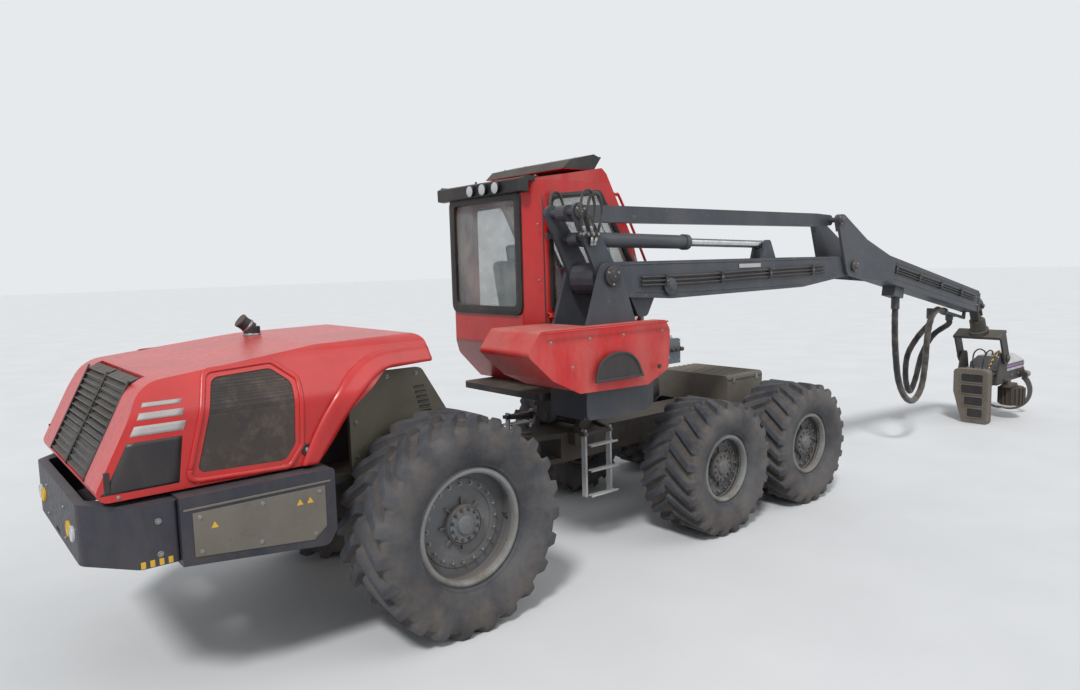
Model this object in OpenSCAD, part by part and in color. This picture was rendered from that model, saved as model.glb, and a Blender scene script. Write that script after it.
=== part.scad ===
/* [Chassis] */
// Rear axle to the centre between the bogie wheels
wheelbase = 3850; // [3600:10:4200]
// Distance between the two wheels of a bogie
bogie_spacing = 1500; // [1440:10:1640]
// Rear axle to the back of the bumper
rear_overhang = 2420; // [2300:10:2600]
// Rear axle to the steering pin
steering_pin_x = 1600; // [1500:10:1750]
// Bogie centre to the front end of the frame
front_overhang = 1050; // [900:10:1250]
// Half the width of the frame beams
beam_half = 240; // [200:5:280]
// Height of the frame beams' underside
beam_low = 760; // [720:10:820]
// Height of the frame beams' top
beam_top = 1060; // [1020:10:1120]
// Diameter of the steering pin
steering_pin_d = 110; // [80:5:140]
// Diameter of the hole for the towing pin
tow_pin_d = 40; // [30:1:50]

/* [Wheels] */
// Rear tyre diameter over the lugs
rear_tyre_d = 1650; // [1500:10:1700]
// Rear tyre width
rear_tyre_w = 640; // [560:10:680]
// Rear rim diameter
rear_rim_d = 900; // [800:10:980]
// Rear wheel centre plane from the middle
rear_track_half = 1100; // [1080:10:1160]
// Bogie tyre diameter over the lugs
bogie_tyre_d = 1340; // [1240:10:1400]
// Bogie tyre width
bogie_tyre_w = 680; // [600:10:700]
// Bogie rim diameter
bogie_rim_d = 690; // [620:10:760]
// Bogie wheel centre plane from the middle
bogie_track_half = 1060; // [1050:10:1120]
// Height of the tyre lugs
lug_h = 55; // [40:5:60]
// Diameter of the wheel spindles
spindle_d = 130; // [110:5:150]

/* [Hood] */
// Half the width of the hood at its lower edge
hood_half = 1000; // [940:10:1040]
// Height of the hood's lower edge
hood_low = 1440; // [1420:10:1470]
// Height of the hood's top at its front
hood_top = 2250; // [2180:10:2280]
// Thickness of the hood's panels
hood_wall = 30; // [25:1:40]
// Louvres on the rear grille
louvre_count = 16; // [10:1:20]

/* [Cab] */
// Slewing centre behind the bogie centre
slew_setback = 1700; // [1650:10:1800]
// Height of the levelling pivot
levelling_z = 1215; // [1200:5:1240]
// Height of the platform's underside
platform_z = 1440; // [1430:5:1480]
// Cab's rear wall behind the slewing centre
cab_back = 870; // [820:10:920]
// Cab's right wall
cab_right = -580; // [-600:10:-540]
// Cab's left wall
cab_left = 880; // [820:10:920]
// Cab roof height at its front edge
cab_roof_z = 3640; // [3560:10:3720]
// Thickness of the cab's walls and doors
cab_wall = 55; // [45:1:70]
// Thickness of the window panes
pane_t = 8; // [6:1:12]

/* [Crane] */
// Crane's centre plane
crane_y = -880; // [-900:5:-860]
// Main boom pivot behind the slewing centre
boom_pivot_back = 430; // [400:5:480]
// Main boom pivot height
boom_pivot_z = 2620; // [2600:5:2660]
// Length of the main boom between its pins
boom_len = 4250; // [4000:10:4500]
// Main boom width
boom_w = 300; // [260:10:320]
// Thickness of the rocker and knuckle plates
plate_t = 34; // [25:1:36]
// Rocker pin from the boom pivot, along the boom, measured backwards
rocker_back = 330; // [300:5:360]
// Rocker pin from the boom pivot, upwards
rocker_up = 560; // [540:5:600]
// Stick length from its pivot to the tip pin
stick_len = 4250; // [4000:10:4400]
// Height of the stick's box section
stick_h = 330; // [300:5:360]
// Stick width
stick_w = 270; // [240:5:290]
// Distance from the tip pin to the tilt pin
hang_len = 950; // [920:5:1000]
// Angle between the hanging link and plumb
hang_lean = 25; // [18:1:28]
// Lift cylinder bore housing diameter
lift_tube_d = 150; // [120:5:160]
// Crossing cylinder housing diameter
luff_tube_d = 136; // [110:2:140]

/* [Harvesting head] */
// Height of the tilt pin above the ground
tilt_pin_z = 1035; // [1020:5:1100]
// Length of the head's frame
head_len = 1600; // [1500:10:1700]
// Width of the head's frame
head_w = 520; // [460:10:560]
// Tilt pin ahead of the saw end
head_tail = 480; // [440:10:520]
// Feed roller diameter
roller_d = 400; // [340:10:420]
// Feed roller height
roller_h = 300; // [260:10:330]
// Spikes around a feed roller
spike_count = 18; // [12:1:24]

/* [Hidden] */
$fn = 48;

// Gaps: seated faces of two pieces, running fit of a pin, clear space for what moves
seat = 0.3;
fit = 0.08;
clear = 12;

// Colours
red = [0.80, 0.12, 0.09];
crane_grey = [0.19, 0.21, 0.24];
dark = [0.10, 0.11, 0.13];
frame_grey = [0.16, 0.17, 0.18];
rubber = [0.11, 0.11, 0.12];
rim_grey = [0.36, 0.38, 0.40];
steel = [0.55, 0.56, 0.58];
chrome = [0.80, 0.81, 0.83];
cover_grey = [0.74, 0.75, 0.76];
pane = [0.55, 0.65, 0.68, 0.35];
cloth = [0.20, 0.19, 0.20];

// Slope of the stick that sets the head down on the ground
tip_up = 80;
tip_drop = boom_pivot_z - tilt_pin_z - hang_len * cos(hang_lean);
stick_pitch = -asin(tip_drop / norm([stick_len, tip_up])) - atan2(tip_up, stick_len);

// Places along the machine; the origin lies under the middle of its length
tip_reach = wheelbase - slew_setback - boom_pivot_back + boom_len
    + stick_len * cos(stick_pitch) - tip_up * sin(stick_pitch);
head_reach = tip_reach + hang_len * sin(hang_lean) + head_len - head_tail;
rear_axle_x = (rear_overhang - head_reach) / 2;
bogie_x = rear_axle_x + wheelbase;
slew_x = bogie_x - slew_setback;
hinge_x = rear_axle_x + steering_pin_x;
rear_z = rear_tyre_d / 2;
bogie_z = bogie_tyre_d / 2;
front_x = bogie_x + front_overhang;
bumper_x = rear_axle_x - rear_overhang;

// Crane pins in the crane's plane
boom_a = [slew_x - boom_pivot_back, boom_pivot_z];
boom_b = boom_a + [boom_len, 0];
rock = [-rocker_back, rocker_up];
tip = boom_b + turn([stick_len, tip_up], stick_pitch);
hang_dir = [sin(hang_lean), -cos(hang_lean)];
tilt_pin = tip + hang_len * hang_dir;
luff_share = 0.6;
luff_tail = luff_share * rock;
luff_head = [2600, 280];
lift_foot = boom_a + [-170, platform_z + 20 - boom_pivot_z];
lift_eye = [560, -330];

// Rotates a point by an angle
function turn(p, a) = [p.x * cos(a) - p.y * sin(a), p.x * sin(a) + p.y * cos(a)];
// Direction angle of a vector
function aim(v) = atan2(v.y, v.x);
// Arc points of a corner rounded by r
function corner(a, b, c, r, n) = let(
        u = (a - b) / norm(a - b),
        v = (c - b) / norm(c - b),
        half = acos(u * v) / 2,
        m = b + (u + v) / norm(u + v) * r / sin(half),
        s = b + u * r / tan(half) - m,
        e = b + v * r / tan(half) - m,
        a0 = aim(s),
        d = aim(e) - a0,
        sweep = d > 180 ? d - 360 : d < -180 ? d + 360 : d)
    r <= 0 ? [b] : [for (i = [0:n]) m + r * [cos(a0 + sweep * i / n), sin(a0 + sweep * i / n)]];
// Outline with rounded corners; each row of the table is x, y, corner radius
function outline(rows, n = 4) = let(k = len(rows))
    [for (i = [0:k - 1]) each corner(
        [rows[(i + k - 1) % k].x, rows[(i + k - 1) % k].y],
        [rows[i].x, rows[i].y],
        [rows[(i + 1) % k].x, rows[(i + 1) % k].y], rows[i][2], n)];
// Outline moved inwards by t; rows run counter-clockwise
function inset(rows, t) = let(k = len(rows))
    [for (i = [0:k - 1]) let(
        p = [rows[(i + k - 1) % k].x, rows[(i + k - 1) % k].y],
        q = [rows[i].x, rows[i].y],
        r = [rows[(i + 1) % k].x, rows[(i + 1) % k].y],
        u = (q - p) / norm(q - p),
        v = (r - q) / norm(r - q),
        nu = [-u.y, u.x],
        nv = [-v.y, v.x],
        w = (nu + nv) / (1 + nu * nv) * t)
        [q.x + w.x, q.y + w.y, max(0, rows[i][2] - t)]];

// Extrudes an XZ drawing from y0 to y1
module slab_y(y0, y1) {
    translate([0, y1, 0]) rotate([90, 0, 0]) linear_extrude(y1 - y0) children();
}
// Extrudes a YZ drawing from x0 to x1
module slab_x(x0, x1) {
    translate([x0, 0, 0]) rotate([90, 0, 90]) linear_extrude(x1 - x0) children();
}
// Extrudes an XY drawing from z0 to z1
module slab_z(z0, z1) {
    translate([0, 0, z0]) linear_extrude(z1 - z0) children();
}
// Box between two corners
module block(a, b) {
    translate(a) cube(b - a);
}
// Cylinder along Y through an XZ point
module pin_y(p, y0, y1, d) {
    translate([p.x, y1, p.y]) rotate([90, 0, 0]) cylinder(h = y1 - y0, d = d);
}
// Cylinder between two XZ points at one y
module rod_xz(p, q, y, d) {
    translate([p.x, y, p.y]) rotate([0, 90 - aim(q - p), 0]) cylinder(h = norm(q - p), d = d);
}
// Copies across the machine's middle
module both_sides() {
    children();
    mirror([0, 1, 0]) children();
}
// Places children at an XZ point, turned in that plane
module at_xz(p, a) {
    translate([p.x, 0, p.y]) rotate([0, -a, 0]) children();
}

// Wheels
module tyre_body(d, w, rim_d) {
    half = w / 2;
    rotate([90, 0, 0]) rotate_extrude($fn = 64) polygon(outline([
        [rim_d / 2 + seat, -half * 0.72, 0],
        [rim_d / 2 + 60, -half * 0.95, 30],
        [d / 2 - lug_h * 2.2, -half, 40],
        [d / 2, -half * 0.86, 40],
        [d / 2, half * 0.86, 40],
        [d / 2 - lug_h * 2.2, half, 40],
        [rim_d / 2 + 60, half * 0.95, 30],
        [rim_d / 2 + seat, half * 0.72, 0]
    ], 3));
}
// Rim along -Y outwards: barrel, dished disc and hub with a bore for the spindle
module rim_body(rim_d, w, disc_y) {
    half = w / 2 * 0.72;
    rotate([90, 0, 0]) difference() {
        union() {
            rotate_extrude($fn = 64) polygon([
                [rim_d / 2, -half], [rim_d / 2, half], [rim_d / 2 - 34, half + 14],
                [rim_d / 2 - 44, half], [rim_d / 2 - 30, half - 60], [rim_d / 2 - 30, disc_y + 20],
                [150, disc_y + 34], [150, disc_y + 90], [60, disc_y + 96], [0, disc_y + 96],
                [0, disc_y - 90], [150, disc_y - 90], [170, disc_y], [rim_d / 2 - 30, disc_y - 14],
                [rim_d / 2 - 30, -half + 60], [rim_d / 2 - 44, -half], [rim_d / 2 - 34, -half - 14]
            ]);
        }
        translate([0, 0, disc_y - 100]) cylinder(h = 130, d = spindle_d + 2 * fit);
    }
}
// Place of a wheel: 0 the rear one, 1 and 2 the bogie's; side 1 left, -1 right
function wheel_at(i, side) = i == 0
    ? [rear_axle_x, side * rear_track_half, rear_z]
    : [bogie_x + (i == 1 ? -1 : 1) * bogie_spacing / 2, side * bogie_track_half, bogie_z];
rear_disc = 60;
bogie_disc = 110;
module wheel_tyre(i, side) {
    color(rubber) translate(wheel_at(i, side)) mirror([0, side > 0 ? 1 : 0, 0])
        if (i == 0) tyre_body(rear_tyre_d, rear_tyre_w, rear_rim_d);
        else tyre_body(bogie_tyre_d, bogie_tyre_w, bogie_rim_d);
}
module wheel_rim(i, side) {
    color(rim_grey) translate(wheel_at(i, side)) mirror([0, side > 0 ? 1 : 0, 0])
        if (i == 0) rim_body(rear_rim_d, rear_tyre_w, rear_disc);
        else rim_body(bogie_rim_d, bogie_tyre_w, bogie_disc);
}

// Chassis
fork_gap = 12;
tongue_low = beam_low + 62;
tongue_top = beam_top - 62;
// Spindles of one axle: from y_in out to the disc
module spindles(x, z, y_in, track_half, disc_y) {
    both_sides() {
        translate([x, y_in, z]) rotate([-90, 0, 0])
            cylinder(h = track_half + disc_y - 20 - y_in, d = spindle_d);
        translate([x, y_in, z]) rotate([-90, 0, 0])
            cylinder(h = track_half + disc_y - 90 - clear - y_in, d = spindle_d + 130);
    }
}
module front_frame() {
    color(frame_grey) {
        slab_y(-beam_half, beam_half) polygon([
            [hinge_x + 250, beam_low], [front_x, beam_low + 60], [front_x, beam_top],
            [hinge_x + 250, beam_top]
        ]);
        for (z = [[beam_low, tongue_low - fork_gap], [tongue_top + fork_gap, beam_top]])
            slab_z(z[0], z[1]) polygon(outline([
                [hinge_x - 130, -130, 120], [hinge_x + 260, -beam_half, 0],
                [hinge_x + 260, beam_half, 0], [hinge_x - 130, 130, 120]
            ]));
        translate([hinge_x, 0, beam_low - 20])
            cylinder(h = beam_top - beam_low + 40, d = steering_pin_d);
        // Cross tube that carries the bogies
        pin_y([bogie_x, bogie_z + 40], -bogie_track_half + bogie_tyre_w / 2 + 170,
            bogie_track_half - bogie_tyre_w / 2 - 170, 330);
        block([slew_x - 200, -340, beam_top - 120], [slew_x + 200, 340, beam_top]);
    }
    // Bearing seats of the levelling cradle, on the frame's wide part
    color(frame_grey) difference() {
        for (s = [-1, 1]) slab_y(s * 300 - 40, s * 300 + 40) polygon([
            [slew_x - 160, beam_top + seat], [slew_x + 160, beam_top + seat],
            [slew_x + 90, levelling_z + 70], [slew_x - 90, levelling_z + 70]
        ]);
        pin_y([slew_x, levelling_z], -400, 400, 90 + 2 * fit);
    }
    // Flat lug with the tie-down eye, on the frame's front face
    color(frame_grey) difference() {
        slab_z(beam_top - 145, beam_top - 95) polygon(outline([
            [front_x + seat, -120, 0], [front_x + 100, -80, 60],
            [front_x + 100, 80, 60], [front_x + seat, 120, 0]
        ]));
        translate([front_x + 45, 0, beam_top - 200]) cylinder(h = 200, d = 60);
    }
}
module bogie_boxes() {
    y0 = bogie_track_half - bogie_tyre_w / 2 - 170;
    y1 = bogie_track_half - bogie_tyre_w / 2 - 20;
    color(frame_grey) both_sides() slab_y(y0 + seat, y1) polygon(outline([
        [bogie_x - bogie_spacing / 2 - 190, bogie_z - 150, 140],
        [bogie_x + bogie_spacing / 2 + 190, bogie_z - 150, 140],
        [bogie_x + bogie_spacing / 2 + 190, bogie_z + 150, 140],
        [bogie_x + 200, bogie_z + 230, 120],
        [bogie_x - 200, bogie_z + 230, 120],
        [bogie_x - bogie_spacing / 2 - 190, bogie_z + 150, 140]
    ]));
    color(frame_grey) for (s = [-1, 1])
        spindles(bogie_x + s * bogie_spacing / 2, bogie_z, y1 - 10, bogie_track_half, bogie_disc);
}
module front_box() {
    color([0.34, 0.34, 0.32]) slab_x(bogie_x + 330, front_x - 40) polygon(outline([
        [-520, beam_top + seat, 0], [520, beam_top + seat, 0], [520, 1400, 40], [-520, 1400, 40]
    ]));
}
module rear_frame() {
    color(frame_grey) difference() {
        union() {
            // Tongue on the steering pin
            slab_z(tongue_low, tongue_top) polygon(outline([
                [hinge_x + 130, 120, 110], [hinge_x - 420, beam_half, 0],
                [hinge_x - 420, -beam_half, 0], [hinge_x + 130, -120, 110]
            ]));
            slab_y(-beam_half, beam_half) polygon([
                [hinge_x - 400, beam_low], [hinge_x - 400, beam_top],
                [bumper_x + 300, beam_top], [bumper_x + 300, beam_low + 120],
                [rear_axle_x - 700, beam_low]
            ]);
            // Axle housing
            pin_y([rear_axle_x, rear_z], -rear_track_half + 320, rear_track_half - 320, 300);
            translate([rear_axle_x, 0, rear_z - 20]) sphere(d = 480, $fn = 40);
            // Deck under the hood
            block([bumper_x + 300, -deck_half, deck_low], [rear_axle_x + 240, deck_half, deck_top]);
            block([bumper_x + 300, -200, beam_top - 5], [rear_axle_x + 240, 200, deck_low + 5]);
            // Lugs and pins of the hood's hinges
            for (s = [-1, 1]) slab_y(s * 520 - 10, s * 520 + 10) polygon(outline([
                [bumper_x + 310, deck_low, 0], [bumper_x + 430, deck_low, 0],
                [bumper_x + 330, deck_top + 60, 30], [hood_pin.x + 24, hood_pin.y + 20, 18],
                [hood_pin.x - 24, hood_pin.y + 20, 18], [hood_pin.x + 22, hood_pin.y - 60, 20]
            ]));
            for (s = [-1, 1]) pin_y(hood_pin, s * 497 - 33, s * 497 + 33, 26);
        }
        translate([hinge_x, 0, 0]) cylinder(h = 2000, d = steering_pin_d + 2 * fit);
    }
    color(frame_grey)
        spindles(rear_axle_x, rear_z, rear_track_half - 330, rear_track_half, rear_disc);
}
// Engine, pump and radiator as one block: its back and front from the rear axle, its top
engine_back = -1700;
engine_front = -420;
engine_top = 1900;
module engine_block() {
    color(frame_grey) block([rear_axle_x + engine_back, -330, deck_top + seat],
        [rear_axle_x + engine_front, 330, engine_top]);
}
bumper_low = 1030;
deck_half = 720;
deck_low = 1180;
deck_top = 1240;
module rear_bumper() {
    y = hood_half + 90;
    color(dark) difference() {
        slab_z(bumper_low, hood_low - 35) polygon(outline([
            [bumper_x + 480, -y, 20], [bumper_x + 480, y, 20],
            [bumper_x + 260, y, 60], [bumper_x, y - 330, 120],
            [bumper_x, -y + 330, 120], [bumper_x + 260, -y, 60]
        ]));
        slab_z(bumper_low + 70, 2000) polygon(outline([
            [bumper_x + 320, -y + 200, 20], [bumper_x + 320, y - 200, 20],
            [bumper_x + 60, y - 380, 60], [bumper_x + 60, -y + 380, 60]
        ]));
        // Frame and deck between the arms
        block([bumper_x + 300 - seat, -deck_half - seat, 500],
            [bumper_x + 700, deck_half + seat, 2000]);
        // Towing jaw
        block([bumper_x - 10, -70, bumper_low + 25], [bumper_x + 90, 70, bumper_low + 50]);
        translate([bumper_x + 40, 0, bumper_low - 30]) cylinder(h = 100, d = tow_pin_d);
    }
}
module side_boxes() {
    x0 = bumper_x + 480 + seat;
    x1 = rear_axle_x - rear_tyre_d / 2 - 130;
    color(dark) both_sides() slab_y(deck_half + seat, hood_half + 130) polygon(outline([
        [x0, 1000, 0], [x1 - 60, 900, 60], [x1, 1000, 40], [x1, hood_low - 20, 20],
        [x0, hood_low - 20, 0]
    ]));
}
module wheel_screens() {
    color([0.30, 0.31, 0.27]) both_sides() slab_y(700, 740) polygon(outline([
        [rear_axle_x - 640, deck_top + seat, 0], [rear_axle_x + 235, deck_top + seat, 0],
        [rear_axle_x + 235, 1560, 40], [rear_axle_x - 20, 1975, 60],
        [rear_axle_x - 380, 1975, 60], [rear_axle_x - 640, 1700, 60]
    ]));
}

// Hood
hood_back = bumper_x + 40;
hood_front = rear_axle_x - 40;
hood_pin = [hood_back + 95, hood_low + 34];
// Side outline of the hood: x, z, corner radius
hood_side = [
    [hood_back, hood_low, 60],
    [rear_axle_x - 1010, hood_low, 60],
    [rear_axle_x - 760, 1760, 160],
    [rear_axle_x - 430, 2020, 120],
    [hood_front + 20, 2040, 20],
    [hood_front, hood_top, 80],
    [rear_axle_x - 900, hood_top - 20, 400],
    [hood_back + 330, hood_top - 150, 220]
];
// Cross section of the hood: y, z, corner radius
function hood_section(t) = inset([
    [hood_half, hood_low, 0], [hood_half, 1900, 200], [hood_half - 190, hood_top, 160],
    [-hood_half + 190, hood_top, 160], [-hood_half, 1900, 200], [-hood_half, hood_low, 0]
], t);
grille_half = 640;
module hood_solid(t) {
    intersection() {
        slab_y(-1200, 1200) polygon(outline(inset(hood_side, t), 6));
        slab_x(hood_back - 10, hood_front + 200) polygon(outline(hood_section(t), 6));
    }
}
module hood_shell() {
    color(red) difference() {
        hood_solid(0);
        hood_solid(hood_wall);
        // Open underside
        block([hood_back + 56, -hood_half + hood_wall, hood_low - 50],
            [rear_axle_x - 1060, hood_half - hood_wall, hood_low + 60]);
        // Arch between the side panels, open to the rear wheels
        block([rear_axle_x - 1100, -hood_half + 240, hood_low - 50],
            [hood_front + 300, hood_half - 240, 2045]);
        // Opening of the rear grille
        slab_x(hood_back - 50, hood_back + 420) polygon(outline([
            [-grille_half, hood_low + 60, 0], [grille_half, hood_low + 60, 0],
            [grille_half, 2600, 0], [-grille_half, 2600, 0]
        ]));
        // Side intakes
        slab_y(-1300, 1300) polygon(intake_outline(0));
    }
    // Eyes of the hinges
    color(red) for (s = [-1, 1]) difference() {
        slab_y(s * 485 - 15, s * 485 + 15) polygon(outline([
            [hood_back + 48, hood_low + 31, 0], [hood_pin.x + 26, hood_pin.y - 26, 20],
            [hood_pin.x + 26, hood_pin.y + 26, 20], [hood_back + 48, hood_low + 56, 0]
        ]));
        pin_y(hood_pin, -600, 600, 26 + 2 * fit);
    }
}
// Side intake outline, smaller by t
function intake_outline(t) = outline(inset([
    [rear_axle_x - 1790, 1520, 40], [rear_axle_x - 1230, 1500, 60], [rear_axle_x - 1160, 1600, 60],
    [rear_axle_x - 1140, 2010, 70], [rear_axle_x - 1260, 2110, 60], [rear_axle_x - 1640, 2090, 60]
], t));
module rear_grille() {
    slope = (hood_top - 150 - hood_low) / (louvre_count + 1);
    color(dark) intersection() {
        difference() {
            hood_solid(hood_wall / 2);
            hood_solid(50);
        }
        union() {
            for (i = [0:louvre_count])
                translate([0, 0, hood_low + 60 + seat + i * slope])
                    block([hood_back - 50, -grille_half + seat, 0],
                        [hood_back + 400, grille_half - seat, slope * 0.42]);
            for (y = [-grille_half + seat, -12, grille_half - 24 - seat])
                block([hood_back - 50, y, hood_low + 60 + seat], [hood_back + 420 - seat, y + 24, 2600]);
        }
    }
}
module intake_screens() {
    color([0.17, 0.15, 0.14]) both_sides() intersection() {
        difference() {
            hood_solid(6);
            hood_solid(24);
        }
        slab_y(0, 1300) polygon(intake_outline(seat));
    }
}
module exhaust_stack() {
    x = rear_axle_x - 900;
    color(dark) {
        difference() {
            translate([x, 430, hood_top - 120]) cylinder(h = 170, d = 130);
            translate([0, 0, seat]) hood_solid(0);
        }
        translate([x, 430, hood_top + 30]) rotate([0, -50, 0]) cylinder(h = 120, d = 110);
    }
}

// Levelling and turntable
module levelling_cradle() {
    color(dark) {
        pin_y([slew_x, levelling_z], -340, 340, 90);
        difference() {
            slab_y(-230, 230) polygon(outline([
                [slew_x - 110, levelling_z - 110, 60], [slew_x + 110, levelling_z - 110, 60],
                [slew_x + 110, levelling_z + 110, 60], [slew_x - 110, levelling_z + 110, 60]
            ]));
            block([slew_x - 500, -240, levelling_z + 60], [slew_x + 500, 240, levelling_z + 300]);
        }
        translate([slew_x - 300, 0, levelling_z]) rotate([0, 90, 0]) cylinder(h = 600, d = 90);
    }
}
module levelling_ring() {
    color(frame_grey) difference() {
        union() {
            for (s = [-1, 1]) slab_x(slew_x + s * 270 - 25, slew_x + s * 270 + 25) polygon(outline([
                [-100, levelling_z - 70, 70], [100, levelling_z - 70, 70],
                [160, platform_z - 40, 0], [-160, platform_z - 40, 0]
            ]));
            translate([slew_x, 0, platform_z - 60]) cylinder(h = 60 - seat, d = 780);
        }
        translate([slew_x - 400, 0, levelling_z]) rotate([0, 90, 0])
            cylinder(h = 800, d = 90 + 2 * fit);
    }
}
module turntable() {
    color(dark) {
        translate([slew_x, 0, platform_z]) cylinder(h = 60, d = 900);
        slab_z(platform_z + 60, platform_z + 120) polygon(outline([
            [slew_x - cab_back + 40, -560, 60], [slew_x + 620, -560, 60],
            [slew_x + 700, 700, 100], [slew_x - cab_back + 40, 700, 100]
        ]));
    }
}

// Cab
cab_floor = platform_z + 120 + seat;
cab_x = slew_x - cab_back;
cab_nose = slew_x + 700;
// Side outline of the cab: x, z, corner radius
cab_side = [
    [cab_x, 2000, 60], [cab_x + 420, cab_floor, 60], [cab_nose - 330, cab_floor, 40],
    [cab_nose - 60, 1820, 60], [cab_nose + 20, 2420, 60], [cab_nose - 110, 2650, 60],
    [cab_nose - 640, cab_roof_z - 50, 60], [cab_nose - 700, cab_roof_z, 30], [cab_x, cab_roof_z - 140, 80]
];
// Plan outline of the cab: x, y, corner radius
cab_plan = [
    [cab_x, cab_right + 170, 40], [cab_x + 150, cab_right, 60], [cab_nose - 300, cab_right, 60],
    [cab_nose + 20, cab_right + 130, 60], [cab_nose + 20, cab_left - 130, 60],
    [cab_nose - 300, cab_left, 60], [cab_x + 150, cab_left, 60], [cab_x, cab_left - 170, 40]
];
module cab_solid(t) {
    intersection() {
        slab_y(-1500, 1500) polygon(outline(inset(cab_side, t)));
        slab_z(1000, 4000) polygon(outline(inset(cab_plan, t)));
    }
}
// Right window: x, z, corner radius
function right_window(t) = outline(inset([
    [cab_x + 210, 2330, 60], [cab_nose - 330, 2330, 60], [cab_nose - 260, 2640, 60],
    [cab_nose - 740, cab_roof_z - 230, 60], [cab_x + 210, cab_roof_z - 290, 60]
], t));
// Door: x, z, corner radius
function door_outline(t) = outline(inset([
    [cab_x + 330, 1680, 40], [cab_nose - 420, 1680, 60], [cab_nose - 320, 2000, 60],
    [cab_nose - 300, 2600, 60], [cab_nose - 760, cab_roof_z - 180, 60],
    [cab_x + 330, cab_roof_z - 230, 60]
], t));
// Glass of the door
function door_window(t) = outline(inset([
    [cab_x + 400, 1980, 50], [cab_nose - 390, 1980, 60],
    [cab_nose - 370, 2590, 60], [cab_nose - 790, cab_roof_z - 250, 60],
    [cab_x + 400, cab_roof_z - 300, 50]
], t));
// Rear window: y, z, corner radius
function rear_window(t) = outline(inset([
    [cab_right + 200, 2320, 50], [cab_left - 200, 2320, 50],
    [cab_left - 200, cab_roof_z - 260, 50], [cab_right + 200, cab_roof_z - 260, 50]
], t));
// Windscreen: y, z, corner radius
function windscreen(t) = outline(inset([
    [cab_right + 190, 2680, 50], [cab_left - 190, 2680, 50],
    [cab_left - 190, cab_roof_z - 180, 50], [cab_right + 190, cab_roof_z - 180, 50]
], t));
// Lower front windows: y, z, corner radius
function low_window(y, t) = outline(inset([
    [y - 230, 2080, 40], [y + 230, 2080, 40], [y + 230, 2330, 40], [y - 230, 2330, 40]
], t));
low_window_y = [(cab_right + cab_left) / 2 - 270, (cab_right + cab_left) / 2 + 270];
module cab_openings(t) {
    slab_y(cab_right - 100, cab_right + 200) polygon(right_window(t));
    slab_x(cab_x - 100, cab_x + 100) polygon(rear_window(t));
    slab_x(cab_nose - 800, cab_nose + 300) polygon(windscreen(t));
    for (y = low_window_y) slab_x(cab_nose - 200, cab_nose + 300) polygon(low_window(y, t));
}
door_pin = [cab_x + 312, cab_left + 16];
door_hinge_z = [1900, 2900];
module cab_shell() {
    // Lower leaves and pins of the door's hinges
    color(red) for (z = door_hinge_z) {
        translate([door_pin.x, door_pin.y, z - 30]) cylinder(h = 80, d = 16);
        block([door_pin.x - 60, cab_left - 5, z - 30], [door_pin.x + 12, door_pin.y + 14, z]);
    }
    color(red) difference() {
        cab_solid(0);
        cab_solid(cab_wall);
        cab_openings(0);
        slab_y(cab_left - 200, cab_left + 100) polygon(door_outline(0));
        block([cab_x - 100, -1500, cab_roof_z - 140], [cab_nose, 1500, cab_roof_z + 200]);
    }
}
module cab_roof() {
    color(red) difference() {
        cab_solid(0);
        cab_solid(cab_wall);
        block([cab_x - 100, -1500, 1000], [cab_nose + 200, 1500, cab_roof_z - 140 + seat]);
    }
    // Visor box and light bars
    color(dark) {
        slab_y(cab_right + 120, cab_left - 120) polygon(outline([
            [cab_nose - 1090, cab_roof_z - 10, 0], [cab_nose - 690, cab_roof_z - 10, 0],
            [cab_nose - 600, cab_roof_z + 110, 10], [cab_nose - 690, cab_roof_z + 140, 20],
            [cab_nose - 1000, cab_roof_z + 70, 30]
        ]));
    }
}
module cab_glass() {
    color(pane) intersection() {
        difference() {
            cab_solid(20);
            cab_solid(20 + pane_t);
        }
        cab_openings(seat);
    }
}
module cab_door() {
    color(red) intersection() {
        difference() {
            cab_solid(0);
            cab_solid(cab_wall);
        }
        difference() {
            slab_y(cab_left - 200, cab_left + 100) polygon(door_outline(8));
            slab_y(cab_left - 200, cab_left + 100) polygon(door_window(0));
        }
    }
    // Upper leaves of the hinges
    color(red) for (z = door_hinge_z) difference() {
        union() {
            translate([door_pin.x, door_pin.y, z + seat]) cylinder(h = 50, d = 30);
            block([door_pin.x, cab_left + 2, z + seat], [door_pin.x + 60, cab_left + 16, z + 50]);
            block([door_pin.x + 36, cab_left - 6, z + seat], [door_pin.x + 60, cab_left + 16, z + 50]);
        }
        translate([door_pin.x, door_pin.y, z - 60]) cylinder(h = 200, d = 16 + 2 * fit);
    }
}
module door_glass() {
    color(pane) intersection() {
        difference() {
            cab_solid(20);
            cab_solid(20 + pane_t);
        }
        slab_y(cab_left - 200, cab_left + 100) polygon(door_window(seat));
    }
}
seat_y = (cab_right + cab_left) / 2;
module operator_seat() {
    x = slew_x - 230;
    z = cab_floor + cab_wall;
    color(cloth) {
        translate([x, seat_y, z + seat]) cylinder(h = 300, d = 300);
        slab_y(seat_y - 250, seat_y + 250) polygon(outline([
            [x - 240, z + 290, 40], [x + 300, z + 290, 60], [x + 300, z + 420, 60],
            [x - 100, z + 400, 20], [x - 230, z + 1180, 60], [x - 380, z + 1160, 60]
        ]));
    }
}
module cab_consoles() {
    x = slew_x - 230;
    z = cab_floor + cab_wall;
    color([0.45, 0.46, 0.45]) for (s = [-1, 1]) slab_y(seat_y + s * 370 - 90, seat_y + s * 370 + 90)
        polygon(outline([
            [x - 120, z + seat, 10], [x + 120, z + seat, 10], [x + 160, z + 520, 20],
            [x + 430, z + 560, 40], [x + 430, z + 640, 40], [x - 180, z + 620, 40]
        ]));
}

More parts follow.
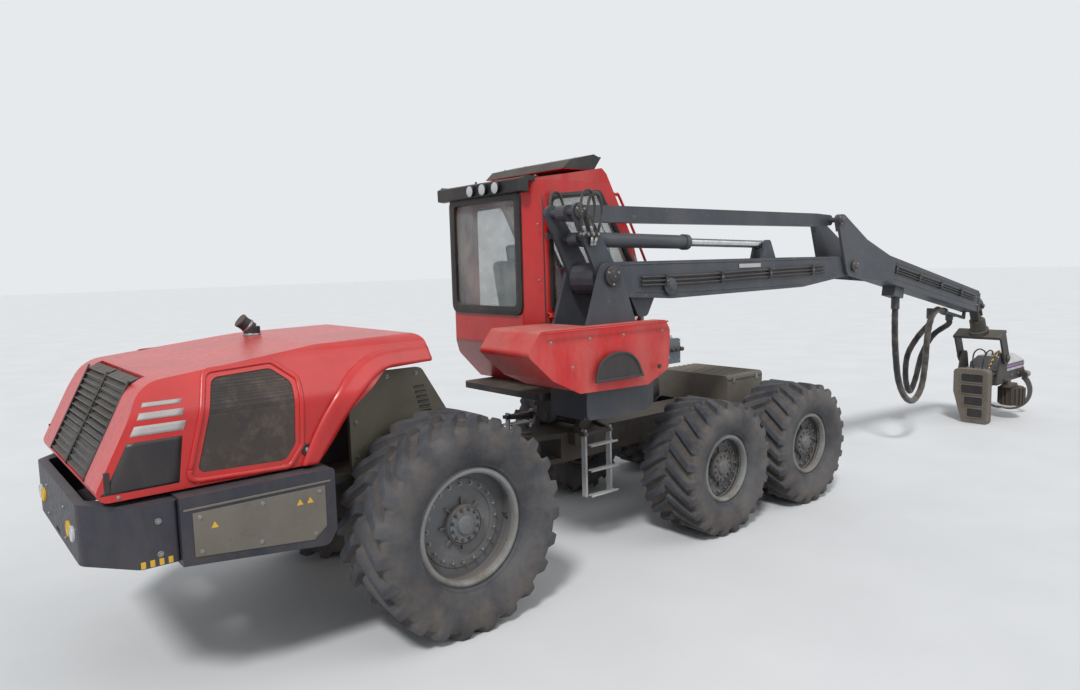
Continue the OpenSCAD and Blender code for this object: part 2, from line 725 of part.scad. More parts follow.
// Crane
rocker_y = boom_w / 2 + 8;
base_y = rocker_y + plate_t + 8;
base_t = 40;
boom_pin_d = 100;
module crane_base() {
    color(crane_grey) {
        difference() {
            union() {
                for (s = [-1, 1]) slab_y(crane_y + (s < 0 ? -base_y - base_t : base_y),
                    crane_y + (s < 0 ? -base_y : base_y + base_t)) polygon(outline([
                        [boom_a.x - 330, platform_z - 60, 60], [boom_a.x + 520, platform_z - 60, 80],
                        [boom_a.x + 520, platform_z + 200, 80], [boom_a.x + 150, boom_a.y - 40, 60],
                        [boom_a.x + 110, boom_a.y + 120, 100], [boom_a.x - 110, boom_a.y + 120, 100],
                        [boom_a.x - 330, boom_a.y - 500, 120]
                    ]));
                // Web behind the cylinder and tie to the platform
                block([boom_a.x - 330, crane_y - base_y - 1, platform_z - 60],
                    [boom_a.x - 290, crane_y + base_y + 1, boom_a.y - 480]);
                block([boom_a.x - 200, crane_y + base_y, platform_z + 60],
                    [boom_a.x + 400, -560 - seat, platform_z + 118]);
                pin_y(boom_a, crane_y - base_y - base_t - 14, crane_y + base_y + base_t + 14,
                    boom_pin_d);
                pin_y(lift_foot, crane_y - base_y - 2, crane_y + base_y + 2, 70);
            }
        }
    }
}
module crane_cover() {
    y0 = crane_y - base_y - base_t - 130;
    x0 = boom_a.x - 1080;
    x1 = boom_a.x + 612;
    rows = [
        [x0, 2030, 40], [x0 + 260, 1800, 60], [x0 + 560, 1660, 40], [x1 - 300, 1640, 60],
        [x1 - 20, 1760, 60], [x1, 2120, 60], [x1 - 60, 2210, 30], [x0 + 140, 2210, 60]
    ];
    color(red) difference() {
        slab_y(y0, cab_right - clear) polygon(outline(rows));
        slab_y(y0 + 30, cab_right + 20) polygon(outline(inset(rows, 30)));
        block([boom_a.x - 330 - seat, crane_y - base_y - base_t - seat, 1500],
            [x1 - 30, cab_right + 20, 2400]);
        block([x0 + 500, y0 + 30, 1500], [x1 - 60, cab_right + 20, 1720]);
        // Slot for the bracket of the valve box
        block([boom_a.x + 500, crane_y + base_y - seat, 1500],
            [x1 + 10, crane_y + base_y + base_t + seat, 1765 + seat]);
    }
}
module valve_box() {
    color([0.26, 0.30, 0.34]) block([boom_a.x + 620, crane_y - 200, 1760],
        [boom_a.x + 960, crane_y + 200, 1990]);
    color([0.26, 0.30, 0.34]) block([boom_a.x + 520 + seat, crane_y + base_y, platform_z + 130],
        [boom_a.x + 700, crane_y + base_y + base_t, 1765]);
}
module main_boom() {
    color(crane_grey) difference() {
        union() {
            slab_y(crane_y - boom_w / 2, crane_y + boom_w / 2) polygon(outline([
                [boom_a.x - 150, boom_a.y - 150, 148], [boom_a.x + 350, boom_a.y - 200, 40],
                [boom_a.x + 900, boom_a.y - 235, 100], [boom_a.x + boom_len * 0.75, boom_a.y - 215, 100],
                [boom_b.x - 220, boom_b.y - 130, 60], [boom_b.x + 120, boom_b.y - 120, 118],
                [boom_b.x + 120, boom_b.y + 120, 118], [boom_a.x + 2900, boom_a.y + 128, 80],
                [boom_a.x - 150, boom_a.y + 128, 126]
            ]));
            // Eyes of the lift cylinder and of the crossing cylinder
            for (s = [-1, 1]) {
                slab_y(crane_y + s * 72 - 15, crane_y + s * 72 + 15) polygon(outline([
                    [boom_a.x + lift_eye.x - 60, boom_a.y + lift_eye.y - 60, 55],
                    [boom_a.x + lift_eye.x + 60, boom_a.y + lift_eye.y - 60, 55],
                    [boom_a.x + lift_eye.x + 200, boom_a.y - 150, 0],
                    [boom_a.x + lift_eye.x - 200, boom_a.y - 150, 0]
                ]));
                slab_y(crane_y + s * 64 - 15, crane_y + s * 64 + 15) polygon(outline([
                    [boom_a.x + luff_head.x - 120, boom_a.y + 100, 0],
                    [boom_a.x + luff_head.x + 160, boom_a.y + 100, 0],
                    [boom_a.x + luff_head.x + 46, boom_a.y + luff_head.y + 46, 44],
                    [boom_a.x + luff_head.x - 46, boom_a.y + luff_head.y + 46, 44]
                ]));
            }
            pin_y(boom_b, crane_y - rocker_y - plate_t - 16, crane_y + rocker_y + plate_t + 16, 90);
        }
        pin_y(boom_a, crane_y - 400, crane_y + 400, boom_pin_d + 2 * fit);
    }
}
link_w = 120;
link_h = 150;
link_pin_d = 60;
module rocker() {
    e = boom_a + rock;
    color(crane_grey) difference() {
        union() {
            for (s = [-1, 1]) slab_y(crane_y + (s < 0 ? -rocker_y - plate_t : rocker_y),
                crane_y + (s < 0 ? -rocker_y : rocker_y + plate_t)) at_outline(boom_a, aim(rock))
                polygon(outline([
                    [-130, -125, 120], [130, -130, 60], [norm(rock) - 60, -95, 60],
                    [norm(rock) + 75, -60, 60], [norm(rock) + 75, 60, 60], [norm(rock) - 60, 75, 60],
                    [130, 105, 60], [-130, 120, 115]
                ]));
            pin_y(e, crane_y - rocker_y - plate_t - 10, crane_y + rocker_y + plate_t + 10, link_pin_d);
            pin_y(boom_a + luff_tail, crane_y - rocker_y - 2, crane_y + rocker_y + 2, 56);
        }
        pin_y(boom_a, crane_y - 400, crane_y + 400, boom_pin_d + 2 * fit);
    }
}
// Turns a drawing's u axis to an angle about a point of the XZ plane
module at_outline(p, a) {
    translate(p) rotate(a) children();
}
module parallel_link() {
    e = boom_a + rock;
    f = boom_b + rock;
    color(crane_grey) difference() {
        slab_y(crane_y - link_w / 2, crane_y + link_w / 2) polygon(outline([
            [e.x - 65, e.y - 65, 62], [e.x + 250, e.y - link_h / 2, 40],
            [f.x - 250, f.y - link_h / 2, 40], [f.x + 60, f.y - 60, 58],
            [f.x + 60, f.y + 60, 58], [f.x - 300, f.y + link_h / 2, 40],
            [e.x + 300, e.y + link_h / 2, 40], [e.x - 65, e.y + 65, 62]
        ]));
        pin_y(e, crane_y - 400, crane_y + 400, link_pin_d + 2 * fit);
        pin_y(f, crane_y - 400, crane_y + 400, link_pin_d + 2);
    }
}
// Stick, drawn along its own axis from its pivot
stick_mid = tip_up + 40;
stick_box_start = 640;
stick_nose = stick_len - 230;
stick_wall = 16;
module stick() {
    f = turn(rock, -stick_pitch);
    color(crane_grey) difference() {
        union() {
            at_xz(boom_b, stick_pitch) difference() {
                slab_y(crane_y - stick_w / 2, crane_y + stick_w / 2) polygon(outline([
                    [stick_box_start, stick_mid - stick_h / 2, 30],
                    [stick_nose, stick_mid - stick_h / 2, 20],
                    [stick_nose, stick_mid + stick_h / 2, 20],
                    [stick_box_start, stick_mid + stick_h / 2 + 30, 30]
                ]));
                // Bore of the extension
                block([stick_box_start + 120, crane_y - stick_w / 2 + stick_wall,
                    stick_mid - stick_h / 2 + stick_wall],
                    [stick_len, crane_y + stick_w / 2 - stick_wall, stick_mid + stick_h / 2 - stick_wall]);
            }
            // Knuckle plates
            for (s = [-1, 1]) at_xz(boom_b, stick_pitch)
                slab_y(crane_y + (s < 0 ? -rocker_y - plate_t : rocker_y - 25),
                    crane_y + (s < 0 ? -rocker_y + 25 : rocker_y + plate_t))
                polygon(outline([
                    [-130, -130, 120], [260, -120, 80], [stick_box_start + 420, stick_mid - stick_h / 2 + 20, 20],
                    [stick_box_start + 420, stick_mid + stick_h / 2 - 20, 20],
                    [260, stick_mid + 260, 160], [f.x + 90, f.y + 80, 70], [f.x - 80, f.y + 60, 70]
                ]));
        }
        // Room for the boom's nose between the knuckle plates
        at_xz(boom_b, stick_pitch) block([-400, crane_y - rocker_y, -400],
            [stick_box_start - 60, crane_y + rocker_y, 900]);
        pin_y(boom_b, crane_y - 400, crane_y + 400, 90 + 2 * fit);
    }
    color(crane_grey) pin_y(boom_b + rock, crane_y - rocker_y - plate_t - 10,
        crane_y + rocker_y + plate_t + 10, link_pin_d);
    // Hose outlet block and its clamp under the stick
    color(dark) at_xz(boom_b, stick_pitch) {
        block([stick_box_start + 700, crane_y - 90, stick_mid - stick_h / 2 - 130],
            [stick_box_start + 960, crane_y + 90, stick_mid - stick_h / 2 + 1]);
    }
    color(dark) gland(loop_a[0], 160);
}
// Vertical hose gland above a route's end
module gland(p, h) {
    translate([boom_b.x + p.x, crane_y + p.y, p.z + seat]) cylinder(h = h, d = hose_d + 20);
}
module extension() {
    g = 6;
    color(crane_grey) at_xz(boom_b, stick_pitch) difference() {
        union() {
            block([stick_box_start + 150, crane_y - stick_w / 2 + stick_wall + g,
                stick_mid - stick_h / 2 + stick_wall + g],
                [stick_len - 120, crane_y + stick_w / 2 - stick_wall - g,
                stick_mid + stick_h / 2 - stick_wall - g]);
            for (s = [-1, 1]) slab_y(crane_y + s * 85 - 17, crane_y + s * 85 + 17) polygon(outline([
                [stick_len - 190, stick_mid - 110, 30], [stick_len + 60, tip_up - 65, 60],
                [stick_len + 60, tip_up + 65, 60], [stick_len - 190, stick_mid + 110, 30]
            ]));
            // Hose rail under the stick
            block([stick_len - 200, crane_y + 68, stick_mid - stick_h / 2 - 70],
                [stick_len - 140, crane_y + 102, stick_mid - 100]);
            block([rail_start, crane_y + 68, rail_low],
                [stick_len - 140, crane_y + 102, rail_low + 40]);
            // Arms that hold the second hose loop beside the rail
            for (p = [loop_b[0], loop_b[len(loop_b) - 1]]) block([arm_at(p) - 30, crane_y + 100, rail_low],
                [arm_at(p) + 30, crane_y + p.y + 50, rail_low + 40]);
            // Clamp that the first hose loop runs into
            translate([loop_a_end.x + 2 * seat, crane_y, loop_a_end.y]) rotate([0, 90, 0])
                cylinder(h = 60, d = hose_d + 20);
            block([loop_a_end.x + 10, crane_y, loop_a_end.y - 20],
                [loop_a_end.x + 50, crane_y + 70, loop_a_end.y + 20]);
            block([loop_a_end.x + 10, crane_y + 66, rail_low], [rail_start + 5, crane_y + 102, rail_low + 40]);
        }
        translate([stick_box_start + 140, 0, 0]) block([0, crane_y - stick_w / 2 + 40, stick_mid - stick_h / 2 + 40],
            [2400, crane_y + stick_w / 2 - 40, stick_mid + stick_h / 2 - 40]);
    }
    color(crane_grey) pin_y(tip, crane_y - 118, crane_y + 118, 50);
    color(crane_grey) gland(loop_b[0], arm_rise(loop_b[0]));
    color(crane_grey) gland(loop_b[len(loop_b) - 1], arm_rise(loop_b[len(loop_b) - 1]));
}
// Outside diameter of a hose bundle and the points of its two loops
hose_d = 90;
loop_a = [
    [1500, 0, 2000], [1500, 0, 1800], [1530, 0, 1450], [1640, 0, 1000], [1860, 0, 720],
    [2120, 0, 640], [2360, 0, 800], [2470, 0, 1150], [2510, 0, 1500], [2610, 0, 1780],
    [2800, 0, 1910], [2920, 0, 1900], [3020, 0, 1881]
];
loop_b = [
    [3060, 200, 1760], [3060, 210, 1680], [3080, 400, 1450], [3110, 560, 1150], [3200, 620, 780],
    [3390, 640, 540], [3560, 630, 720], [3660, 580, 1120], [3710, 430, 1440], [3730, 215, 1620],
    [3730, 200, 1690]
];
// Hose rail under the stick: its start along the stick, its underside, its arms' places
rail_start = 3120;
rail_low = stick_mid - stick_h / 2 - 110;
loop_a_end = turn([loop_a[len(loop_a) - 1].x, loop_a[len(loop_a) - 1].z - boom_b.y], -stick_pitch);
function arm_at(p) = turn([p.x, p.z + 60 - boom_b.y], -stick_pitch).x;
function arm_rise(p) = boom_b.y + turn([arm_at(p), rail_low + 20], stick_pitch).y - p.z - seat;
// Cylinders: tube from its foot, rod with an eye at its head
module cylinder_tube(foot, head, d, len, eye_w, pin_d) {
    a = aim(head - foot);
    color(crane_grey) difference() {
        union() {
            rod_xz(foot + turn([55, 0], a), foot + turn([len, 0], a), crane_y, d);
            rod_xz(foot + turn([len - 60, 0], a), foot + turn([len, 0], a), crane_y, d + 20);
            pin_y(foot, crane_y - eye_w, crane_y + eye_w, pin_d + 60);
        }
        pin_y(foot, crane_y - 400, crane_y + 400, pin_d + 2 * fit);
        rod_xz(foot + turn([110, 0], a), foot + turn([len + 50, 0], a), crane_y, d * 0.62 + 1.2);
    }
}
module cylinder_rod(foot, head, d, tail, eye_w) {
    a = aim(head - foot);
    color(chrome) {
        rod_xz(foot + turn([tail, 0], a), head - turn([30, 0], a), crane_y, d * 0.62);
        pin_y(head, crane_y - eye_w, crane_y + eye_w, 92);
    }
}
lift_len = norm(boom_a + lift_eye - lift_foot);
luff_len = norm(luff_head - luff_tail);
module lift_tube() {
    cylinder_tube(lift_foot, boom_a + lift_eye, lift_tube_d, lift_len - 240, 55, 70);
}
module lift_rod() {
    cylinder_rod(lift_foot, boom_a + lift_eye, lift_tube_d, 240, 50);
}
module luff_tube() {
    cylinder_tube(boom_a + luff_tail, boom_a + luff_head, luff_tube_d, 1500, 60, 56);
}
module luff_rod() {
    cylinder_rod(boom_a + luff_tail, boom_a + luff_head, luff_tube_d, 650, 40);
}

// Tip and head
cross_at = 170;
rotator_at = 260;
yoke_at = 500;
// Frame whose +X runs down the hanging link from the tip pin
module along_hang() {
    translate([tip.x, crane_y, tip.y]) rotate([0, 90 - hang_lean, 0]) children();
}
module tip_link() {
    color(crane_grey) along_hang() difference() {
        union() {
            rotate([90, 0, 0]) translate([0, 0, -62]) cylinder(h = 124, d = 116);
            block([0, -62, -50], [cross_at - 66, 62, 50]);
            for (s = [-1, 1]) block([cross_at - 100, -62, s * 72 - 16], [cross_at + 42, 62, s * 72 + 16]);
            block([cross_at - 100, -62, -70], [cross_at - 66, 62, 70]);
        }
        rotate([90, 0, 0]) translate([0, 0, -100]) cylinder(h = 200, d = 50 + 2 * fit);
        translate([cross_at, 0, -150]) cylinder(h = 300, d = 44 + 2 * fit);
    }
}
module link_cross() {
    color(dark) along_hang() {
        translate([cross_at, 0, -94]) cylinder(h = 188, d = 44);
        translate([cross_at, 0, -48]) cylinder(h = 96, d = 100);
        block([cross_at, -44, -44], [rotator_at - 10, 44, 44]);
        translate([rotator_at - 20, 0, 0]) rotate([0, 90, 0]) cylinder(h = 20 - seat, d = 190);
    }
}
module rotator() {
    color(dark) along_hang() {
        translate([rotator_at, 0, 0]) rotate([0, 90, 0]) cylinder(h = 170, d = 230);
        translate([rotator_at + 170, 0, 0]) rotate([0, 90, 0])
            cylinder(h = yoke_at - rotator_at - 170 - seat, d = 290);
    }
}
yoke_in = head_w / 2 + 70;
module tilt_yoke() {
    color(dark) difference() {
        union() {
            along_hang() {
                block([yoke_at, -yoke_in - 30, -130], [yoke_at + 40, yoke_in + 30, 130]);
                for (s = [-1, 1]) block([yoke_at, s * (yoke_in + 15) - 15, -100],
                    [hang_len - 40, s * (yoke_in + 15) + 15, 100]);
            }
            for (s = [-1, 1]) pin_y(tilt_pin, crane_y + s * (yoke_in + 15) - 15,
                crane_y + s * (yoke_in + 15) + 15, 200);
        }
        pin_y(tilt_pin, crane_y - 500, crane_y + 500, 70 + 2 * fit);
    }
}
head_x = tilt_pin.x - head_tail;
head_nose = head_x + head_len;
head_beam_z = tilt_pin_z - 420;
module head_frame() {
    color(dark) {
        slab_y(crane_y - head_w / 2, crane_y + head_w / 2) polygon(outline([
            [head_x + 170, head_beam_z, 10], [head_nose - 60, head_beam_z, 40],
            [head_nose, head_beam_z + 80, 40], [head_nose - 60, head_beam_z + 170, 40],
            [head_x + 170, head_beam_z + 170, 10]
        ]));
        // Ears of the tilt pin
        for (s = [-1, 1]) slab_y(crane_y + s * (yoke_in - 35) - 14, crane_y + s * (yoke_in - 35) + 14)
            polygon(outline([
                [head_x + 200, head_beam_z, 20], [tilt_pin.x + 220, head_beam_z, 20],
                [tilt_pin.x + 95, tilt_pin.y + 85, 80], [tilt_pin.x - 95, tilt_pin.y + 85, 80]
            ]));
        for (s = [-1, 1]) pin_y(tilt_pin, crane_y + (s < 0 ? -yoke_in - 45 : yoke_in - 50),
            crane_y + (s < 0 ? -yoke_in + 50 : yoke_in + 45), 70);
        block([head_x + 230, crane_y - yoke_in + 22, head_beam_z + 1],
            [tilt_pin.x + 150, crane_y + yoke_in - 22, head_beam_z + 120]);
        translate([0, crane_y, 0]) both_sides() {
            // Ears and pins of the knives
            for (s = [-1, 1]) slab_x(knife_x + s * 78 - 12, knife_x + s * 78 + 12) polygon(outline([
                [head_w / 2 - 30, knife_pivot.y - 40, 0], [knife_pivot.x + 45, knife_pivot.y - 45, 40],
                [knife_pivot.x + 45, knife_pivot.y + 45, 40], [head_w / 2 - 30, knife_pivot.y + 60, 0]
            ]));
            translate([knife_x - 90, knife_pivot.x, knife_pivot.y]) rotate([0, 90, 0])
                cylinder(h = 180, d = 50);
            // Shelf and pins of the roller arms
            block([arm_pivot.x - 60, head_w / 2 - 20, head_beam_z + 20],
                [arm_pivot.x + 60, arm_pivot.y + 50, head_beam_z + 60]);
            translate([arm_pivot.x, arm_pivot.y, arm_low]) cylinder(h = head_beam_z + 30 - arm_low, d = 50);
        }
    }
}
module head_cover() {
    z = head_beam_z + 170 + seat;
    color(cover_grey) intersection() {
        slab_y(crane_y - head_w / 2, crane_y + head_w / 2) polygon(outline([
            [tilt_pin.x + 120, z, 10], [head_nose - 80, z, 10], [head_nose - 40, z + 90, 20],
            [head_nose - 240, tilt_pin_z - 10, 20], [tilt_pin.x + 200, tilt_pin_z - 5, 20]
        ]));
        slab_x(head_x, head_nose + 100) polygon(outline([
            [crane_y - head_w / 2, z - 10, 0], [crane_y + head_w / 2, z - 10, 0],
            [crane_y + head_w / 2, z + 130, 20], [crane_y + head_w / 2 - 110, tilt_pin_z, 20],
            [crane_y - head_w / 2 + 110, tilt_pin_z, 20], [crane_y - head_w / 2, z + 130, 20]
        ]));
    }
}
module saw_box() {
    color([0.42, 0.42, 0.39]) difference() {
        slab_x(head_x, head_x + 170 - seat) polygon(outline([
            [crane_y - 260, 4, 40], [crane_y + 120, 4, 60], [crane_y + 260, 500, 60],
            [crane_y + 260, head_beam_z + 260, 60], [crane_y - 260, head_beam_z + 260, 60]
        ]));
        // Slot of the saw bar
        slab_x(head_x + 60, head_x + 110) difference() {
            polygon([
                [crane_y - 220, -50], [crane_y + 400, -50], [crane_y + 400, head_beam_z + 40],
                [crane_y - 220, head_beam_z + 40]
            ]);
            translate(saw_pivot) circle(d = 40);
        }
    }
}
saw_pivot = [crane_y - 120, head_beam_z - 60];
module saw_bar() {
    color(steel) difference() {
        slab_x(head_x + 60 + 18, head_x + 110 - 18) polygon(outline([
            [saw_pivot.x - 50, saw_pivot.y - 440, 45], [saw_pivot.x + 50, saw_pivot.y - 440, 45],
            [saw_pivot.x + 60, saw_pivot.y + 50, 40], [saw_pivot.x - 60, saw_pivot.y + 50, 40]
        ]));
        translate([head_x, saw_pivot.x, saw_pivot.y]) rotate([0, 90, 0])
            cylinder(h = 200, d = 40 + 2 * fit);
    }
}
knife_x = head_nose - 190;
knife_pivot = [head_w / 2 + 75, head_beam_z + 60];
knife_hub_d = 110;
// Sickle of a knife: angles along its back, radius of the back, depth from the back
knife_back_r = 365;
knife_centre = [knife_pivot.x - 250, knife_pivot.y - 270];
function knife_depth(a) = 24 + 70 * (a + 105) / 155;
module knife(side) {
    color(crane_grey) translate([knife_x, crane_y, 0]) mirror([0, side < 0 ? 1 : 0, 0]) difference() {
        union() {
            translate([-60, knife_pivot.x, knife_pivot.y]) rotate([0, 90, 0])
                cylinder(h = 120, d = knife_hub_d);
            slab_x(side > 0 ? 4 : -34, side > 0 ? 34 : -4) translate(knife_centre) polygon(concat(
                [for (a = [50:-10:-105]) knife_back_r * [cos(a), sin(a)]],
                [for (a = [-105:10:50]) (knife_back_r - knife_depth(a)) * [cos(a), sin(a)]]
            ));
        }
        translate([-70, knife_pivot.x, knife_pivot.y]) rotate([0, 90, 0])
            cylinder(h = 140, d = 50 + 2 * fit);
    }
}
roller_x = tilt_pin.x + 330;
roller_y = 330;
roller_z = 240;
arm_len = 250;
arm_pivot = [roller_x - arm_len, roller_y];
arm_low = roller_z + roller_h + 12;
module roller(side) {
    color(dark) translate([0, crane_y, 0]) mirror([0, side < 0 ? 1 : 0, 0]) {
        translate([roller_x, roller_y, roller_z]) {
            cylinder(h = roller_h, d = roller_d - 60);
            cylinder(h = roller_h + 55, d = 150);
            for (i = [0:spike_count - 1]) rotate(i * 360 / spike_count)
                translate([roller_d / 2 - 40, -14, 20]) cube([40, 28, roller_h - 40]);
        }
        difference() {
            slab_z(arm_low, arm_low + 44) polygon(outline([
                [arm_pivot.x - 60, arm_pivot.y - 60, 55], [roller_x + 80, roller_y - 80, 70],
                [roller_x + 80, roller_y + 80, 70], [arm_pivot.x - 60, arm_pivot.y + 60, 55]
            ]));
            translate([arm_pivot.x, arm_pivot.y, arm_low - 10]) cylinder(h = 100, d = 50 + 2 * fit);
        }
    }
}

// Hoses
// Route points of the two hanging hose loops, chosen by hand: along the stick from its
// pivot, across from the crane's plane, height above the ground
function hose_point(p) = [boom_b.x + p.x, crane_y + p.y, p.z];
// Smooth route through the points
function spline(p, i, t) = let(
        k = len(p) - 1,
        a = p[max(0, i - 1)], b = p[i], c = p[min(k, i + 1)], d = p[min(k, i + 2)])
    0.5 * ((2 * b) + (c - a) * t + (2 * a - 5 * b + 4 * c - d) * t * t
        + (3 * b - a - 3 * c + d) * t * t * t);
function route(p, n) = concat([for (i = [0:len(p) - 2], j = [0:n - 1]) spline(p, i, j / n)],
    [p[len(p) - 1]]);
function unit(v) = v / norm(v);
// Tube along the points; its end faces stand square to the directions a and b
module tube(points, d, sides, a, b) {
    k = len(points);
    dirs = [for (i = [0:k - 1]) i == 0 ? a : i == k - 1 ? b : unit(points[i + 1] - points[i - 1])];
    rings = [for (i = [0:k - 1]) let(
        across = unit(cross(dirs[i], [0.05, 1, 0.03])),
        up = cross(across, dirs[i]))
        for (j = [0:sides - 1]) points[i]
            + d / 2 * (cos(360 * j / sides) * across + sin(360 * j / sides) * up)];
    polyhedron(rings, concat(
        [[for (j = [0:sides - 1]) j]],
        [for (i = [0:k - 2], j = [0:sides - 1])
            [i * sides + j, (i + 1) * sides + j, (i + 1) * sides + (j + 1) % sides,
                i * sides + (j + 1) % sides]],
        [[for (j = [sides - 1:-1:0]) (k - 1) * sides + j]]));
}
module hose_loop_a() {
    color(rubber) tube([for (p = route(loop_a, 2)) hose_point(p)], hose_d, 10,
        [0, 0, -1], [cos(stick_pitch), 0, sin(stick_pitch)]);
}
module hose_loop_b() {
    color(rubber) tube([for (p = route(loop_b, 2)) hose_point(p)], hose_d, 10,
        [0, 0, -1], [0, 0, 1]);
}

front_frame();
bogie_boxes();
front_box();
rear_frame();
engine_block();
rear_bumper();
side_boxes();
wheel_screens();
hood_shell();
rear_grille();
intake_screens();
exhaust_stack();
wheel_tyre(0, 1);  // tyre_rear_left
wheel_rim(0, 1);  // rim_rear_left
wheel_tyre(0, -1);  // tyre_rear_right
wheel_rim(0, -1);  // rim_rear_right
wheel_tyre(1, 1);  // tyre_mid_left
wheel_rim(1, 1);  // rim_mid_left
wheel_tyre(1, -1);  // tyre_mid_right
wheel_rim(1, -1);  // rim_mid_right
wheel_tyre(2, 1);  // tyre_front_left
wheel_rim(2, 1);  // rim_front_left
wheel_tyre(2, -1);  // tyre_front_right
wheel_rim(2, -1);  // rim_front_right
levelling_cradle();
levelling_ring();
turntable();
cab_shell();
cab_roof();
cab_glass();
operator_seat();
cab_consoles();
cab_door();
door_glass();
crane_base();
crane_cover();
valve_box();
main_boom();
rocker();
parallel_link();
stick();
extension();
lift_tube();
lift_rod();
luff_tube();
luff_rod();
tip_link();
link_cross();
rotator();
tilt_yoke();
head_frame();
head_cover();
saw_box();
saw_bar();
knife(1);  // knife_left
knife(-1);  // knife_right
roller(1);  // roller_left
roller(-1);  // roller_right
hose_loop_a();
hose_loop_b();
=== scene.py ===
from math import acos, ceil, cos, hypot, pi, radians, sin, sqrt, tan

import bmesh
import bpy
from mathutils import Matrix, Vector, noise


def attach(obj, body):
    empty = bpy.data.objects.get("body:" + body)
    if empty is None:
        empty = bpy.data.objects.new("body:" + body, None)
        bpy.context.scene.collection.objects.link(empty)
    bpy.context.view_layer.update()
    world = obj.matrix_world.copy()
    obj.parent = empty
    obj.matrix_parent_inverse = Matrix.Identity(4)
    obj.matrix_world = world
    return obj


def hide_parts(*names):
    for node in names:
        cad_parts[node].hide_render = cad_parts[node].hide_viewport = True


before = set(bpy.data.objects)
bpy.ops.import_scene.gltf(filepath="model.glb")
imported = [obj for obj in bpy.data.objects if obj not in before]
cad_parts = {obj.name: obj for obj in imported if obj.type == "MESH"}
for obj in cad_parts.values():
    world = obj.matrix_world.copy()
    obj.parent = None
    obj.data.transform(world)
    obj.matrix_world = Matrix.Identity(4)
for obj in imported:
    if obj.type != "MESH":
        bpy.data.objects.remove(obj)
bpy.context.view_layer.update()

scene = bpy.context.scene
scene.view_settings.view_transform = "Standard"

# Places of the frame, in metres
REAR_X, MID_X, FRONT_X = -4.63, -1.53, -.03
CRANE_Y = -.88
STICK_PITCH = radians(-10.885)
# x and z of the crane's pins: both ends of the boom, rocker, stick's link, end of the extension, tilt of the head
BOOM_A, BOOM_B, ROCKER, LINK = (-2.91, 2.62), (1.34, 2.62), (-3.24, 3.18), (1.01, 3.18)
TIP, TILT = (5.5286, 1.896), (5.93, 1.035)
HOSE_D = .09


def put(name, data):
    obj = bpy.data.objects.new(name, data)
    scene.collection.objects.link(obj)
    return obj


# Camera: where the photograph was taken from, and its heading, tilt and roll
EYE = (-7.76, -5.95, 2.75)
YAW, PITCH, ROLL = radians(50.3), radians(-6.0), radians(-1.5)


def camera():
    data = bpy.data.cameras.new("camera")
    data.sensor_width, data.lens, data.clip_end = 36, 25.8, 500
    scene.camera = put("camera", data)
    look = Vector((cos(YAW) * cos(PITCH), sin(YAW) * cos(PITCH), sin(PITCH)))
    turn = look.to_track_quat("-Z", "Y").to_matrix().to_4x4() @ Matrix.Rotation(ROLL, 4, "Z")
    scene.camera.matrix_world = Matrix.Translation(EYE) @ turn


camera()


# Node helpers for materials
def rgb(r, g, b):
    """Linear colour from 0 to 255 display values."""
    return tuple(c / 255 / 12.92 if c / 255 <= .04045 else ((c / 255 + .055) / 1.055) ** 2.4 for c in (r, g, b))


class Graph:
    """Nodes of a new material, or of a given owner, around its main shader."""

    def __init__(self, name, owner=None, shader="Principled BSDF"):
        self.mat = owner or bpy.data.materials.new(name)
        self.mat.use_nodes = True
        self.tree = self.mat.node_tree
        self.bsdf = self.tree.nodes[shader]
        self.coord = self.node("ShaderNodeTexCoord").outputs

    def feed(self, socket, value):
        if isinstance(value, (int, float)):
            socket.default_value = value
        elif isinstance(value, tuple):
            socket.default_value = (*value, 1)[:len(socket.default_value)]
        else:
            self.tree.links.new(value, socket)

    def node(self, kind, inputs=None, **values):
        n = self.tree.nodes.new(kind)
        for k, v in values.items():
            setattr(n, k, v)
        for k, v in (inputs or {}).items():
            self.feed(n.inputs[k], v)
        return n

    def shade(self, **sockets):
        """Feeds the shader's sockets, whose names have _ for a space here."""
        for k, v in sockets.items():
            self.feed(self.bsdf.inputs[k.replace("_", " ")], v)
        return self.mat

    def noise(self, scale, detail=4.0, rough=.55, stretch=None, distortion=0.0):
        where = self.coord["Object"]
        if stretch:
            where = self.node("ShaderNodeMapping", {"Scale": stretch, "Vector": where}).outputs[0]
        return self.node("ShaderNodeTexNoise", {"Scale": scale, "Detail": detail, "Roughness": rough,
                                                "Distortion": distortion, "Vector": where}).outputs["Fac"]

    def ramp(self, fac, low, high, a=0.0, b=1.0):
        return self.node("ShaderNodeMapRange", {"Value": fac, "From Min": low, "From Max": high,
                                                "To Min": a, "To Max": b}, clamp=True).outputs["Result"]

    def patches(self, scale, detail, rough, low, high, a=0.0, b=1.0):
        """Ramp over plain noise."""
        return self.ramp(self.noise(scale, detail, rough), low, high, a, b)

    def math(self, op, a, b):
        return self.node("ShaderNodeMath", {0: a, 1: b}, operation=op).outputs[0]

    def mix(self, fac, a, b):
        return self.node("ShaderNodeMix", {0: fac, 6: a, 7: b}, data_type="RGBA").outputs[2]

    def axis(self, which, source="Object"):
        return self.node("ShaderNodeSeparateXYZ", {0: self.coord[source]}).outputs[which]

    def bump(self, height, strength, distance, below=None):
        inputs = {"Strength": strength, "Distance": distance, "Height": height}
        if below is not None:
            inputs["Normal"] = below
        return self.node("ShaderNodeBump", inputs).outputs["Normal"]


DUST = rgb(150, 136, 118)
MUD = rgb(92, 78, 64)


